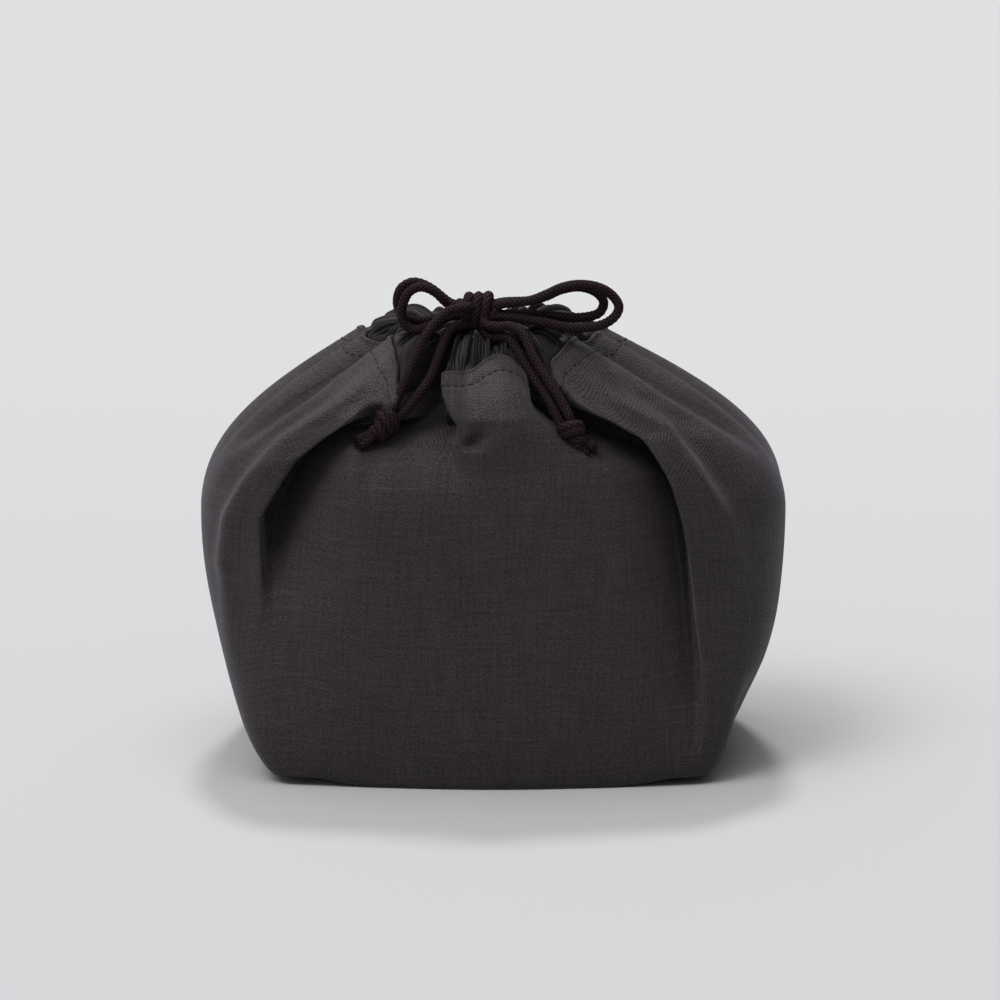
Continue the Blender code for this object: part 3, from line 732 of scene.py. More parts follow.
def fold_shift(azimuth, radius, height):
    """How far the folds draw the cloth in, how far their lips lean, and a shift in x and y.

    A hollow: depth * ease(d / soft) at the lip * (d / soft)^ramp at the other edge, with d the
    distance inside each edge. A fold: depth * exp(-|d / spread|^power), d from its middle line.
    """
    inset = np.zeros(np.broadcast(azimuth, height).shape)
    lean = np.zeros_like(inset)
    shift_x = np.zeros_like(inset)
    shift_y = np.zeros_like(inset)
    is_low = 1.0 - ease((height - BACK_UP_TO) / BACK_FADES_OVER)
    for hollow in HOLLOWS:
        depth = np.interp(height, hollow.heights, hollow.depths)
        left = across_cloth(azimuth, np.interp(height, hollow.heights, hollow.lefts), radius)
        right = -across_cloth(azimuth, np.interp(height, hollow.heights, hollow.rights), radius)
        soft_left = np.interp(height, hollow.heights, hollow.soft_left)
        soft_right = np.interp(height, hollow.heights, hollow.soft_right)
        left_part = left / soft_left
        right_part = right / soft_right
        lip_part, slow_part = (right_part, left_part) if hollow.lip > 0 else (left_part, right_part)
        depth_here = depth * ease(lip_part) * np.clip(slow_part, 0.0, 1.0) ** hollow.ramp
        back = hollow.back * is_low
        inset += depth_here * (1.0 - back)
        shift_y += depth_here * back
        shift_x += depth_here * back * hollow.lip * UNDER_LIP
        past_lip = right if hollow.lip > 0 else left
        near = np.exp(-(past_lip / LIP_REACH) ** 2)
        lean -= hollow.lip * hollow.lean * near * np.minimum(depth / LIP_FULL_DEPTH, 1.0)
    for fold in FOLDS:
        depth = np.interp(height, fold.heights, fold.depths)
        away = across_cloth(azimuth, np.interp(height, fold.heights, fold.azimuths), radius)
        spread = np.where(away < 0, fold.left, fold.right)
        inset += depth * np.exp(-np.abs(away / spread) ** fold.power)
    return inset, lean, shift_x, shift_y


# %% [markdown]
# The large folds lean as they go down, and the cloth's threads lean with them. So the columns of
# the surface do too: a few lines along those folds tie them, and between two lines each column
# keeps its share of the way. Columns straight down would cross the folds' edges at a slant.

# %% Canvas body: the columns follow the folds
Line = namedtuple("Line", "heights azimuths")

# Lines along which the threads of the cloth run, in order round the pouch from the back.
LINES = (
    Line((0.055, 0.100, 0.140, 0.1735), (-132, -135, -140, -144)),
    Line((0.095, 0.1735), (-106, -106)),
    Line((0.127, 0.1735), (-78, -67)),
    Line((0.050, 0.091, 0.108, 0.123, 0.131, 0.139, 0.146, 0.154, 0.1735),
         (-60, -58, -56, -52.5, -50.5, -46, -38, -30, -29)),
    Line((0.035, 0.083, 0.117, 0.132, 0.140, 0.147, 0.155, 0.1735),
         (51.5, 50, 47.5, 45, 41, 36, 28, 27)),
    Line((0.127, 0.1735), (78, 67)),
    Line((0.095, 0.1735), (106, 105)),
    Line((0.055, 0.100, 0.140, 0.1735), (134, 137, 142, 146)),
    Line((0.085, 0.1735), (178, 180)),
)
LINES_AT_HEM = np.radians([line.azimuths[-1] for line in LINES])
LINES_AT_HEM = np.append(LINES_AT_HEM, LINES_AT_HEM[0] + 2 * math.pi)


def stretch_of(column):
    """Which stretch between two lines each column lies in, and its azimuth past the first line."""
    place = (column - LINES_AT_HEM[0]) % (2 * math.pi) + LINES_AT_HEM[0]
    stretch = np.searchsorted(LINES_AT_HEM, place, side="right") - 1
    return np.clip(stretch, 0, len(LINES) - 1), place


def swept(column, height):
    """Azimuth of each column at a height: columns keep their share of the way between two lines."""
    column, height = np.broadcast_arrays(column, height)
    here = np.stack([np.radians(np.interp(height, line.heights, line.azimuths)) for line in LINES])
    here = np.concatenate([here, here[:1] + 2 * math.pi])
    before, place = stretch_of(column)
    width = LINES_AT_HEM[before + 1] - LINES_AT_HEM[before]
    share = (place - LINES_AT_HEM[before]) / width
    low = np.take_along_axis(here, before[None], axis=0)[0]
    high = np.take_along_axis(here, before[None] + 1, axis=0)[0]
    return low + (high - low) * share


# %% [markdown]
# Drawn shut, the hem isn't level: it stands up in flaps and dips between them. One list of drops
# round the pouch gives it, and every row below takes its height as a share of it.

# %% Canvas body: the hem's outline
# Azimuth of the hem in degrees, and how far the hem lies there below its highest level.
HEM_DROPS = (
    (-170, 0.0005), (-158, 0.0005), (-144, 0.0105), (-130, 0.0010), (-117, 0.0010),
    (-106, 0.0080), (-96, 0.0005), (-80, 0.0000), (-68, 0.0040), (-63, 0.0000), (-54, 0.0003),
    (-47, 0.0030), (-42, 0.0060), (-38.5, 0.0095), (-35.5, 0.0160), (-31, 0.0200), (-27, 0.0205),
    (-23, 0.0170), (-20.5, 0.0110), (-18.5, 0.0092), (-10, 0.0088), (-5, 0.0080), (0, 0.0052),
    (5, 0.0036), (10, 0.0034), (14, 0.0048), (17, 0.0080), (19.5, 0.0130), (22, 0.0180),
    (26, 0.0205), (30, 0.0170), (32.5, 0.0095), (35, 0.0060), (41, 0.0032), (48, 0.0008),
    (54, 0.0000), (62, 0.0003), (68, 0.0040), (74, 0.0005), (94, 0.0005), (105, 0.0080),
    (117, 0.0010), (132, 0.0010), (146, 0.0105), (160, 0.0005), (171, 0.0010), (181, 0.0100),
)
HEM_BLUR_DEGREES = 1.3


def hem_curve():
    """Drop of the hem at each half degree: the rows above joined by lines, then blurred."""
    fine = np.arange(-180.0, 180.0, 0.5)
    places = np.array([place for place, _ in HEM_DROPS])
    drops = np.array([drop for _, drop in HEM_DROPS])
    joined = np.interp(fine, places, drops, period=360.0)
    kernel = np.exp(-(fine / HEM_BLUR_DEGREES) ** 2)
    kernel = np.roll(kernel / kernel.sum(), -(len(fine) // 2))
    blurred = np.fft.ifft(np.fft.fft(joined) * np.fft.fft(kernel)).real
    return fine, blurred


HEM_CURVE = hem_curve()


def hem_height(column):
    """Height of the hem at the top of each column."""
    return HEM_HEIGHT - np.interp(np.degrees(column), HEM_CURVE[0], HEM_CURVE[1], period=360.0)


# %% Canvas body: one surface of two parameters
WRINKLES = (
    # waves round, waves up, phase, depth: long soft unevenness of cloth that has been folded
    (3.0, 11.0, 0.4, 0.00060),
    (7.0, 6.0, 1.9, 0.00050),
    (13.0, 17.0, 4.1, 0.00022),
    (19.0, 8.0, 2.7, 0.00018),
)
STITCH_DEPTH_BELOW_HEM = 0.0042
STITCH_PULL = 0.00045
STITCH_PULL_REACH = 0.0009
HEM_STEP = 0.00035
HEM_STEP_BELOW_STITCHES = 0.0018
HEM_STEP_RUN = 0.0006
CORNER_FULL_AT = 0.82
CORNER_POWER = 5
CORNER_LIFT_UP_TO = 0.12


def canvas_surface(column, share, inward=0.0):
    """The canvas, at columns given by their azimuth at the hem and shares of the way up to it.

    z = share * hem_height + corner lift, and x = cx + r sin(azimuth), y = cy - r cos(azimuth),
    with r the superellipse's radius at that height less the folds, the wrinkles, the stitches'
    pull and inward. The two valleys shift x and y, and the front of the base bows out.
    """
    hem = hem_height(column)
    height = share * hem
    half_width, half_depth, squareness, centre_x, centre_y = body_section(height)
    azimuth = swept(column, height)
    radius = section_radius(azimuth, half_width, half_depth, squareness)
    inset, lean, shift_x, shift_y = fold_shift(azimuth, radius, height)
    fade = np.sin(math.pi * np.clip(share, 0.0, 1.0)) ** 0.5
    wrinkle = sum(depth * np.sin(around * azimuth + up * share + phase)
                  for around, up, phase, depth in WRINKLES) * fade
    past_stitches = hem - height - STITCH_DEPTH_BELOW_HEM
    pull = STITCH_PULL * np.exp(-(past_stitches / STITCH_PULL_REACH) ** 2)
    step = HEM_STEP * ease((HEM_STEP_BELOW_STITCHES - past_stitches) / HEM_STEP_RUN)
    radius = radius - inset + wrinkle - pull + step - inward
    x = centre_x + radius * np.sin(azimuth) + lean * np.cos(azimuth) + shift_x
    y = centre_y - radius * np.cos(azimuth) + lean * np.sin(azimuth) + shift_y
    bow = FRONT_BOW * np.clip(1.0 - (2 * x / BASE_WIDTH) ** 2, 0.0, 1.0)
    y = y - bow * np.clip(np.cos(azimuth), 0.0, 1.0) * np.exp(-(height / FRONT_BOW_REACH) ** 2)
    cornered = np.abs(x * y) / (BASE_WIDTH * BASE_DEPTH / 4 * CORNER_FULL_AT)
    low_down = np.clip(1.0 - share / CORNER_LIFT_UP_TO, 0.0, 1.0)
    lift = CORNER_LIFT * np.clip(cornered, 0.0, 1.0) ** CORNER_POWER * low_down
    return np.stack([x, y, height + lift], axis=-1)


# %% [markdown]
# The canvas is a plain weave of uneven yarns. Two sines give its crossings, and noise drawn out
# along each direction gives the yarns. Both are read at the cloth's own flat coordinates, so the
# weave bends with the folds.

# %% Canvas body: weave
CANVAS_DARK = (0.0160, 0.0124, 0.0132)
CANVAS_LIGHT = (0.0900, 0.0720, 0.0765)
WEAVE_PITCH = 0.00140
STREAK_LENGTH = 14.0
SPECKS_PER_THREAD = 1.3
SPECK_WEIGHT = 2.0
NOISE_MIDDLE = 0.5
CROSSING_IN_COLOUR = 0.40
UNEVEN_IN_COLOUR = 0.75
COLOUR_MIDDLE = 0.42
CROSSING_IN_BUMP = 0.5


def weave_pattern(tree, pitch):
    """Plain weave: sin(u) sin(v) over one thread's pitch, and uneven threads both ways."""
    u, v = flat_coordinates(tree)
    u = sum_node(tree, "DIVIDE", u, pitch)
    v = sum_node(tree, "DIVIDE", v, pitch)
    warp = sum_node(tree, "SINE", sum_node(tree, "MULTIPLY", u, 2 * math.pi))
    weft = sum_node(tree, "SINE", sum_node(tree, "MULTIPLY", v, 2 * math.pi))
    crossing = sum_node(tree, "MULTIPLY", warp, weft)
    long_v = sum_node(tree, "DIVIDE", v, STREAK_LENGTH)
    long_u = sum_node(tree, "DIVIDE", u, STREAK_LENGTH)
    upright = noise_node(tree, u, long_v)
    level = noise_node(tree, long_u, v)
    speck = noise_node(tree, sum_node(tree, "MULTIPLY", u, SPECKS_PER_THREAD),
                       sum_node(tree, "MULTIPLY", v, SPECKS_PER_THREAD))
    uneven = sum_node(tree, "ADD", sum_node(tree, "ADD", upright, level),
                      sum_node(tree, "MULTIPLY", speck, SPECK_WEIGHT))
    return crossing, sum_node(tree, "SUBTRACT", uneven, (2 + SPECK_WEIGHT) * NOISE_MIDDLE)


def canvas_material():
    """Canvas: crossings and uneven threads set both the colour and the bump."""
    made, tree, shader = new_material("canvas", roughness=0.62, specular=0.42,
                                      sheen=0.22, sheen_roughness=0.40)
    shader.inputs["Sheen Tint"].default_value = (0.86, 0.83, 1.0, 1.0)
    crossing, uneven = weave_pattern(tree, WEAVE_PITCH)
    # The crossings tint the colour as painted shade and light of the weave; the uneven threads are
    # the yarn's own tone.
    share = sum_node(tree, "MULTIPLY", crossing, CROSSING_IN_COLOUR)
    share = sum_node(tree, "ADD", share, sum_node(tree, "MULTIPLY", uneven, UNEVEN_IN_COLOUR))
    share = sum_node(tree, "ADD", share, COLOUR_MIDDLE)
    height = sum_node(tree, "ADD", sum_node(tree, "MULTIPLY", crossing, CROSSING_IN_BUMP), uneven)
    wire_colour_and_bump(tree, shader, share, CANVAS_DARK, CANVAS_LIGHT, height, 0.75, 0.00025)
    return made


canvas_finish = canvas_material()

# %% Canvas body: build
BODY_COLUMNS = 376
FRONT_CROWDING = 0.45
BASE_SHARES = (0.02, 0.30, 0.60, 0.86, 0.95, 0.985, 0.997)
BASE_LEVEL_SHARE = 0.86
UPPER_FROM = 0.66
BRIM_FROM = 0.955
LOWER_ROWS = 40
UPPER_ROWS = 59
BRIM_ROWS = 12
HEM_ROLL_ROWS = 6
HEM_ROLL_RADIUS = 0.0011
HEM_INSIDE_ROWS = 4
HEM_INSIDE_DEPTH = 0.0090
CANVAS_THICKNESS = 0.0007


def body_columns():
    """Azimuths of the columns at the hem, at even steps of a + crowding sin(a)."""
    fine = np.linspace(-math.pi, math.pi, 4001)
    steps = np.linspace(-math.pi, math.pi, BODY_COLUMNS, endpoint=False)
    return np.interp(steps, fine + FRONT_CROWDING * np.sin(fine), fine)


def canvas_grid():
    """Rows from the middle of the base panel to its seam, up to the hem, over it and down inside."""
    column = body_columns()
    seam = canvas_surface(column, 0.0)
    rows = []
    for share in BASE_SHARES:
        row = seam * share
        row[:, 2] = seam[:, 2] * float(ease((share - BASE_LEVEL_SHARE) / (1.0 - BASE_LEVEL_SHARE)))
        rows.append(row)
    lower = np.linspace(0.0, UPPER_FROM, LOWER_ROWS)
    upper = np.linspace(UPPER_FROM, BRIM_FROM, UPPER_ROWS + 1)[1:]
    brim = np.linspace(BRIM_FROM, 1.0, BRIM_ROWS + 1)[1:]
    for share in np.concatenate([lower, upper, brim]):
        rows.append(canvas_surface(column, share))
    edge = rows[-1]
    azimuth = swept(column, HEM_HEIGHT)
    inwards = np.stack([-np.sin(azimuth), np.cos(azimuth), np.zeros_like(azimuth)], axis=1)
    upwards = np.array((0.0, 0.0, 1.0))
    for turn in np.linspace(0.0, math.pi, HEM_ROLL_ROWS + 1)[1:]:
        reach = HEM_ROLL_RADIUS * (1.0 - math.cos(turn))
        rows.append(edge + inwards * reach + upwards * HEM_ROLL_RADIUS * math.sin(turn))
    for drop in np.linspace(0.0, HEM_INSIDE_DEPTH, HEM_INSIDE_ROWS + 1)[1:]:
        rows.append(edge + inwards * 2 * HEM_ROLL_RADIUS - upwards * drop)
    return np.stack(rows)


def cloth_lengths(points, seam_row, middle):
    """Flat coordinates of a closed grid: distance along each row, and distance up each column.

    Along a row it is counted from the middle column given for each column, so the threads of
    that stretch run straight up from the sewn row. Up a column it starts at the sewn row.
    """
    columns = points.shape[1]
    wrapped = np.concatenate([points, points[:, :1]], axis=1)
    around = np.cumsum(np.linalg.norm(np.diff(wrapped, axis=1), axis=2), axis=1)
    around = np.concatenate([np.zeros((len(points), 1)), around], axis=1)
    middle = np.append(middle, middle[-1])
    around = around - around[:, middle] + around[seam_row, middle]
    up = np.cumsum(np.linalg.norm(np.diff(wrapped, axis=0), axis=2), axis=0)
    up = np.concatenate([np.zeros((1, columns + 1)), up], axis=0)
    return np.stack([around, up - up[seam_row][None, :]], axis=-1)


def with_wall(piece, thickness):
    """Give an open cloth its thickness, inwards."""
    wall = piece.modifiers.new("wall", "SOLIDIFY")
    wall.thickness = thickness
    wall.offset = -1.0
    wall.use_even_offset = False
    return piece


def middle_columns(column):
    """For each column, the number of the column in the middle of its stretch of cloth."""
    middles = (LINES_AT_HEM[:-1] + LINES_AT_HEM[1:]) / 2
    away = np.abs(turned(column[None, :] - middles[:, None]))
    return away.argmin(axis=1)[stretch_of(column)[0]]


canvas_points = canvas_grid()
canvas_flat = cloth_lengths(canvas_points, len(BASE_SHARES), middle_columns(body_columns()))
base_middle = canvas_points[0].mean(axis=0)
canvas_skin = grid_skin(canvas_points, canvas_flat, closed=True)
last = len(canvas_skin.points)
middle_faces = [[(j + 1) % BODY_COLUMNS, j, last] for j in range(BODY_COLUMNS)]
middle_flat = np.zeros((3 * BODY_COLUMNS, 2))
canvas_skin = Skin(np.vstack([canvas_skin.points, base_middle]),
                   canvas_skin.faces + middle_faces,
                   np.vstack([canvas_skin.corners, middle_flat]))
canvas_piece = make_piece("canvas_body", [canvas_skin], canvas_finish)
with_wall(canvas_piece, CANVAS_THICKNESS)
print("widest row", round(float(np.ptp(canvas_points[:, :, 0])) * 1000, 1), "mm")

# %% [markdown]
# The hem is turned in and sewn with one row of stitches. Each stitch is a short raised dash of
# thread that lies on the cloth in a slight dent. All of them are worked out at once: stations
# along the row, and an oval section round each station.

# %% Hem stitches
STITCH_PITCH = 0.0030
STITCH_LENGTH = 0.0022
STITCH_HALF_WIDTH = 0.00030
STITCH_HALF_HEIGHT = 0.00022
STITCH_STATIONS = 7
STITCH_SIDES = 6
STITCH_SEAT = 0.55
STITCH_END_SIZE = 0.03
STITCH_LOOK_AHEAD = 0.0004
STITCH_LOOK_UP = 0.004
STITCH_ROW_COLUMNS = 3000
# Dark is the painted shade in the thread's twist, light its raised tops.
THREAD_DARK = (0.006, 0.005, 0.006)
THREAD_LIGHT = (0.022, 0.019, 0.021)


def thread_material():
    """Twisted thread: a sine that slants round it raises it and darkens its grooves as painted
    shade.
    """
    made, tree, shader = new_material("hem_thread", roughness=0.6, specular=0.4)
    u, v = flat_coordinates(tree)
    twist = sum_node(tree, "SINE", sum_node(tree, "MULTIPLY", sum_node(tree, "ADD", u, v), 12.0))
    share = sum_node(tree, "ADD", sum_node(tree, "MULTIPLY", twist, 0.5), 0.5)
    wire_colour_and_bump(tree, shader, share, THREAD_DARK, THREAD_LIGHT, twist, 0.3, 0.0001)
    return made


def stitch_skins():
    """Thread = station + half width * cos a * across + half height * sin a * outward."""
    share = 1.0 - STITCH_DEPTH_BELOW_HEM / HEM_HEIGHT
    column = np.linspace(-math.pi, math.pi, STITCH_ROW_COLUMNS, endpoint=False)
    row = canvas_surface(column, share)
    higher = canvas_surface(column, share + STITCH_LOOK_UP)
    row = np.vstack([row, row[:1]])
    higher = np.vstack([higher, higher[:1]])
    along = distances(row)
    upwards = unit(higher - row)
    count = int(along[-1] / STITCH_PITCH)
    middles = (np.arange(count) + 0.5) * along[-1] / count
    offsets = np.linspace(-0.5, 0.5, STITCH_STATIONS) * STITCH_LENGTH
    wanted = middles[:, None] + offsets[None, :]
    place = points_at(wanted, along, row)
    ahead = points_at(wanted + STITCH_LOOK_AHEAD, along, row)
    rise = points_at(wanted, along, upwards)
    outward = unit(np.cross(ahead - place, rise))
    end = np.linspace(-1.0, 1.0, STITCH_STATIONS)
    size = np.sqrt(np.clip(1.0 - end**4, STITCH_END_SIZE, 1.0))
    angle = np.linspace(0.0, 2 * math.pi, STITCH_SIDES, endpoint=False)
    across = STITCH_HALF_WIDTH * size[None, :, None] * np.cos(angle)
    off = STITCH_HALF_HEIGHT * (size[None, :, None] * np.sin(angle) + STITCH_SEAT)
    points = (place[:, :, None, :] + across[..., None] * rise[:, :, None, :]
              + off[..., None] * outward[:, :, None, :])
    flat = np.stack(np.meshgrid(np.arange(STITCH_SIDES + 1.0), np.arange(STITCH_STATIONS * 1.0)),
                    axis=-1)
    return [grid_skin(each, flat, closed=True, close_ends=True) for each in points]


stitches = stitch_skins()
stitch_piece = make_piece("hem_stitches", stitches, thread_material())
print(len(stitches), "stitches")

# %% [markdown]
# The collar is a strip of thin ribbed cloth sewn inside the hem. The cords run through its edge and
# draw it to a pucker under the bow, so it rises over the hem and falls into pleats that all point
# to the gather. The ribs of the cloth run the same way. It is a surface with one parameter round
# the hem and one from the hem to the pucker.

# %% Collar: finish
RIB_PITCH = 0.00130
# Dark is the painted shade between the ribs, light a painted sheen on their tops.
COLLAR_DARK = (0.0030, 0.0025, 0.0027)
COLLAR_LIGHT = (0.0560, 0.0470, 0.0510)


def ribbed_material():
    """Thin ribbed cloth: a sine across the ribs and fine noise in them set colour and bump; the
    colour is painted shade between the ribs and painted sheen on them, the noise the yarn's own
    tone.
    """
    made, tree, shader = new_material("ribbed_cloth", roughness=0.58, specular=0.30,
                                      sheen=0.10, sheen_roughness=0.35)
    u, v = flat_coordinates(tree)
    rib = sum_node(tree, "SINE", sum_node(tree, "MULTIPLY", u, 2 * math.pi / RIB_PITCH))
    fine = noise_node(tree, sum_node(tree, "MULTIPLY", u, 900.0),
                      sum_node(tree, "MULTIPLY", v, 2500.0))
    height = sum_node(tree, "ADD", sum_node(tree, "MULTIPLY", rib, 0.5),
                      sum_node(tree, "MULTIPLY", fine, 0.3))
    share = sum_node(tree, "ADD", height, 0.35)
    wire_colour_and_bump(tree, shader, share, COLLAR_DARK, COLLAR_LIGHT, height, 0.7, 0.00030)
    return made


collar_finish = ribbed_material()

# %% Collar: surface
COLLAR_COLUMNS = 480
HEM_WALL = 0.0024
COLLAR_CLEARANCE = 0.0008
COLLAR_FOOT = 0.1460
COLLAR_SHOULDER = 0.1765
GATHER_CENTRE = (-0.0050, -0.0130)
GATHER_RADIUS = 0.0110
GATHER_DIP = 0.0030
PUCKER_DEPTH = 0.0100
COLLAR_THICKNESS = 0.0005
COLLAR_FOOT_ROWS = 6
COLLAR_ROWS = 44
PUCKER_ROWS = 11
PUCKER_SHRINK = 0.97
SHOULDER_SHARE = 0.40

# waves round the collar, phase, share of the pleats' depth
PLEAT_WAVES = ((23, 0.0, 0.30), (43, 1.3, 0.60), (61, 4.0, 0.15))
PLEAT_DEPTH = 0.0033
PLEATS_FULL_AT = 0.12
PLEATS_FADE = 0.15
PLEATS_RISE_FROM = 0.35
PLEAT_SWING = 0.0010
SWING_WAVES = 31
PUFF_HALF_LENGTH = 0.22

# azimuth in degrees, half width in degrees, share from hem to gather, rise
COLLAR_PUFFS = (
    (138.0, 26.0, 0.22, 0.0025),
    (-128.0, 22.0, 0.20, 0.0015),
    (62.0, 14.0, 0.20, 0.0020),
    (-66.0, 14.0, 0.20, 0.0020),
)


def pleat_wave(azimuth):
    """Uneven folds round the collar: waves whose spacing drifts, as a gathered edge has."""
    drifting = azimuth + 0.06 * np.sin(3 * azimuth + 0.5) + 0.03 * np.sin(7 * azimuth + 2.0)
    return sum(share * np.cos(count * drifting + phase) for count, phase, share in PLEAT_WAVES)


def collar_row(column, inward):
    """A row of the collar: the hem's outline drawn towards the gather by the share inward.

    Height goes up from the hem to the shoulder with 1 - (1 - t)^2, then dips to the gather.
    """
    seat = canvas_surface(column, 1.0, inward=HEM_WALL + COLLAR_CLEARANCE)
    azimuth = swept(column, HEM_HEIGHT)
    gather_x = GATHER_CENTRE[0] + GATHER_RADIUS * np.sin(azimuth)
    gather_y = GATHER_CENTRE[1] - GATHER_RADIUS * np.cos(azimuth)
    x = seat[:, 0] + (gather_x - seat[:, 0]) * inward
    y = seat[:, 1] + (gather_y - seat[:, 1]) * inward
    up = 1.0 - (1.0 - min(inward / SHOULDER_SHARE, 1.0)) ** 2
    z = seat[:, 2] + (COLLAR_SHOULDER - seat[:, 2]) * up
    past_shoulder = max(inward - SHOULDER_SHARE, 0.0) / (1.0 - SHOULDER_SHARE)
    z = z - GATHER_DIP * math.sin(math.pi * past_shoulder) ** 2
    growth = float(ease(inward / PLEATS_FULL_AT)) * (1.0 - PLEATS_FADE * inward)
    wave = pleat_wave(azimuth)
    z = z + PLEAT_DEPTH * growth * wave * (PLEATS_RISE_FROM + (1.0 - PLEATS_RISE_FROM) * up)
    outward = PLEAT_DEPTH * growth * wave * (1.0 - up)
    x = x + outward * np.sin(azimuth)
    y = y - outward * np.cos(azimuth)
    for place, half_width, share, rise in COLLAR_PUFFS:
        away = np.degrees(turned(azimuth - math.radians(place)))
        bell = np.exp(-(away / half_width) ** 2 - ((inward - share) / PUFF_HALF_LENGTH) ** 2)
        z = z + rise * bell
    swing = PLEAT_SWING * growth * np.sin(SWING_WAVES * azimuth + 1.0 + 3 * np.sin(2 * azimuth))
    x = x + swing * np.cos(azimuth)
    y = y + swing * np.sin(azimuth)
    return np.stack([x, y, z], axis=1)


def collar_grid():
    """Rows from inside the bag up to the hem, over the shoulder, to the gather and down into it."""
    column = np.linspace(-math.pi, math.pi, COLLAR_COLUMNS, endpoint=False)
    at_hem = collar_row(column, 0.0)
    rows = []
    for height in np.linspace(0.0, 1.0, COLLAR_FOOT_ROWS + 1)[:-1]:
        row = at_hem.copy()
        row[:, 2] = COLLAR_FOOT + (at_hem[:, 2] - COLLAR_FOOT) * height
        rows.append(row)
    for inward in np.linspace(0.0, 1.0, COLLAR_ROWS):
        rows.append(collar_row(column, inward))
    last_row = rows[-1]
    centre = np.array(GATHER_CENTRE)
    level = last_row[:, 2].mean()
    for share in np.linspace(0.0, 1.0, PUCKER_ROWS + 1)[1:]:
        shrink = 1.0 - PUCKER_SHRINK * share
        row = last_row.copy()
        row[:, :2] = centre + (last_row[:, :2] - centre) * shrink
        row[:, 2] = level + (last_row[:, 2] - level) * shrink - PUCKER_DEPTH * share**1.5
        rows.append(row)
    return np.stack(rows)


def collar_lengths(points):
    """Ribs follow the columns: u is the distance round the hem, v the distance up each column."""
    middle = np.full(points.shape[1], points.shape[1] // 2)
    lengths = cloth_lengths(points, COLLAR_FOOT_ROWS, middle)
    lengths[:, :, 0] = lengths[COLLAR_FOOT_ROWS, :, 0][None, :]
    return lengths


collar_points = collar_grid()
collar_skin = grid_skin(collar_points, collar_lengths(collar_points), closed=True)
collar_piece = make_piece("ribbed_collar", [collar_skin], collar_finish)
with_wall(collar_piece, COLLAR_THICKNESS)

# %% [markdown]
# The pouch stands on a large pale floor that also fills the view behind it. Its colour carries the
# soft change from front to back, a painted light that is paler further back. Three lamps stand for
# the studio's soft boxes: one high on the left in front, which throws the shadow to the right and
# back, one high behind, which throws the shadow forward, and a wide one overhead. The world fills
# in the rest, mostly from above and from the left. Together they light a level surface at strength
# one.

# %% Floor
FLOOR_HALF_WIDTH = 3.0
FLOOR_FRONT = -3.0
FLOOR_BACK = 7.0
# The change from the near to the far colour is painted light.
FLOOR_NEAR_COLOUR = (0.680, 0.684, 0.698)
FLOOR_FAR_COLOUR = (0.752, 0.752, 0.758)
FLOOR_BOUNCE_COLOUR = (0.24, 0.24, 0.25)
FLOOR_NEAR_Y = -0.35
FLOOR_FAR_Y = 0.90


def floor_material():
    """Matt floor, paler towards the back as painted light, and darker for the light that bounces off
    it.
    """
    made, tree, shader = new_material("floor", roughness=0.9, specular=0.0)
    place = tree.nodes.new("ShaderNodeTexCoord")
    split = tree.nodes.new("ShaderNodeSeparateXYZ")
    tree.links.new(place.outputs["Object"], split.inputs[0])
    spread = tree.nodes.new("ShaderNodeMapRange")
    spread.inputs["From Min"].default_value = FLOOR_NEAR_Y
    spread.inputs["From Max"].default_value = FLOOR_FAR_Y
    tree.links.new(split.outputs[1], spread.inputs[0])
    ramp = tree.nodes.new("ShaderNodeValToRGB")
    ramp.color_ramp.elements[0].color = (*FLOOR_NEAR_COLOUR, 1.0)
    ramp.color_ramp.elements[1].color = (*FLOOR_FAR_COLOUR, 1.0)
    tree.links.new(spread.outputs[0], ramp.inputs[0])
    path = tree.nodes.new("ShaderNodeLightPath")
    seen = sum_node(tree, "MAXIMUM", path.outputs["Is Camera Ray"], path.outputs["Is Glossy Ray"])
    seen = sum_node(tree, "MAXIMUM", seen, path.outputs["Is Transmission Ray"])
    mix = tree.nodes.new("ShaderNodeMixRGB")
    mix.inputs[1].default_value = (*FLOOR_BOUNCE_COLOUR, 1.0)
    tree.links.new(seen, mix.inputs[0])
    tree.links.new(ramp.outputs[0], mix.inputs[2])
    tree.links.new(mix.outputs[0], shader.inputs["Base Color"])
    return made


floor_x, floor_y = np.meshgrid(np.linspace(-FLOOR_HALF_WIDTH, FLOOR_HALF_WIDTH, 3),
                               np.linspace(FLOOR_FRONT, FLOOR_BACK, 3))
floor_points = np.stack([floor_x, floor_y, np.zeros_like(floor_x)], axis=-1)
floor = make_piece("floor", [grid_skin(floor_points, floor_points[..., :2], closed=False)],
                   floor_material())

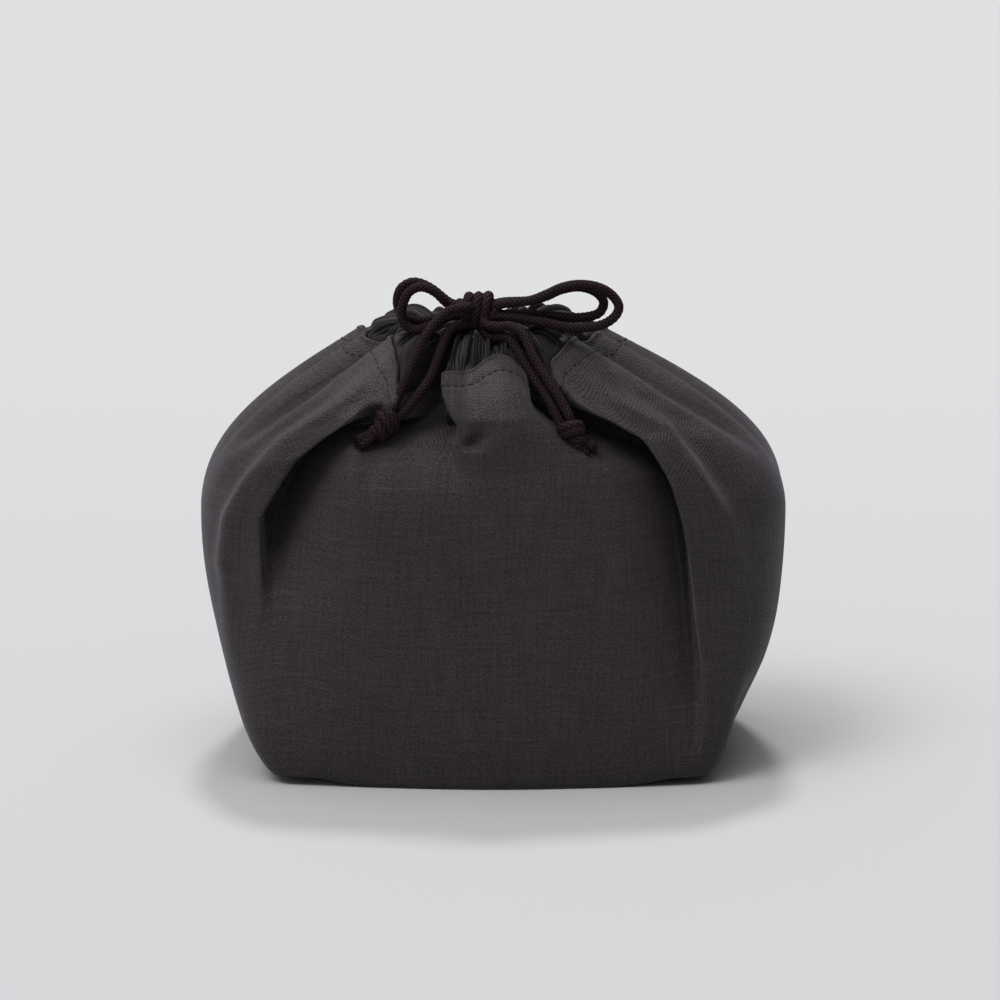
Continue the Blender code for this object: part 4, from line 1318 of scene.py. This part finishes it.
# %% Lamps and world
Lamp = namedtuple("Lamp", "name direction share_on_floor softness")
LAMPS = (
    Lamp("front_left_lamp", (0.50, 0.42, -1.0), 0.22, 0.50),
    Lamp("back_lamp", (0.00, -0.46, -1.0), 0.27, 0.14),
    Lamp("overhead_box", (0.10, 0.05, -1.0), 0.26, 0.90),
)
WORLD_EVEN = 0.11
WORLD_FROM_ABOVE = 0.21
WORLD_FROM_LEFT = 0.16
WORLD_SHARE = WORLD_EVEN + WORLD_FROM_ABOVE * 2 / 3

for lamp in LAMPS:
    data = bpy.data.lights.new(lamp.name, "SUN")
    direction = Vector(lamp.direction).normalized()
    data.energy = lamp.share_on_floor * math.pi / -direction.z
    data.angle = lamp.softness
    made = bpy.data.objects.new(lamp.name, data)
    made.rotation_euler = direction.to_track_quat("-Z", "Y").to_euler()
    bpy.context.scene.collection.objects.link(made)

world = bpy.data.worlds.new("studio")
world.use_nodes = True
background = world.node_tree.nodes["Background"]
background.inputs["Color"].default_value = (0.985, 0.99, 1.0, 1.0)
sky = world.node_tree
towards = sky.nodes.new("ShaderNodeTexCoord")
parts = sky.nodes.new("ShaderNodeSeparateXYZ")
sky.links.new(towards.outputs["Generated"], parts.inputs[0])
above = sum_node(sky, "MULTIPLY", parts.outputs[2], WORLD_FROM_ABOVE)
left = sum_node(sky, "MULTIPLY", parts.outputs[0], -WORLD_FROM_LEFT)
strength = sum_node(sky, "ADD", sum_node(sky, "ADD", above, left), WORLD_EVEN)
sky.links.new(sum_node(sky, "MAXIMUM", strength, 0.0), background.inputs["Strength"])
bpy.context.scene.world = world
bpy.context.scene.view_settings.view_transform = "Standard"
print("light on a level surface:", WORLD_SHARE + sum(lamp.share_on_floor for lamp in LAMPS))

# %% [markdown]
# Last, every piece is tied to the frame: which body it rides on, which solids it stands for, and
# which finish of the record it has. The cords and the two cloths are declared with the sizes that
# they were cut to.

# %% Tie the pieces to the frame
BODY = "root"

pieces = [canvas_piece, stitch_piece, collar_piece, bow_knot_piece]
pieces += list(strand_pieces.values()) + list(end_knot_pieces.values())
for piece in pieces:
    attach(piece, BODY)

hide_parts("pouch_body")
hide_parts("collar")
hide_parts("bow_knot")
for node, piece in end_knot_pieces.items():
    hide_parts(node)
for strand in STRANDS:
    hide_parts(*strand.nodes)

for strand in STRANDS:
    path = strand_paths[strand.name]
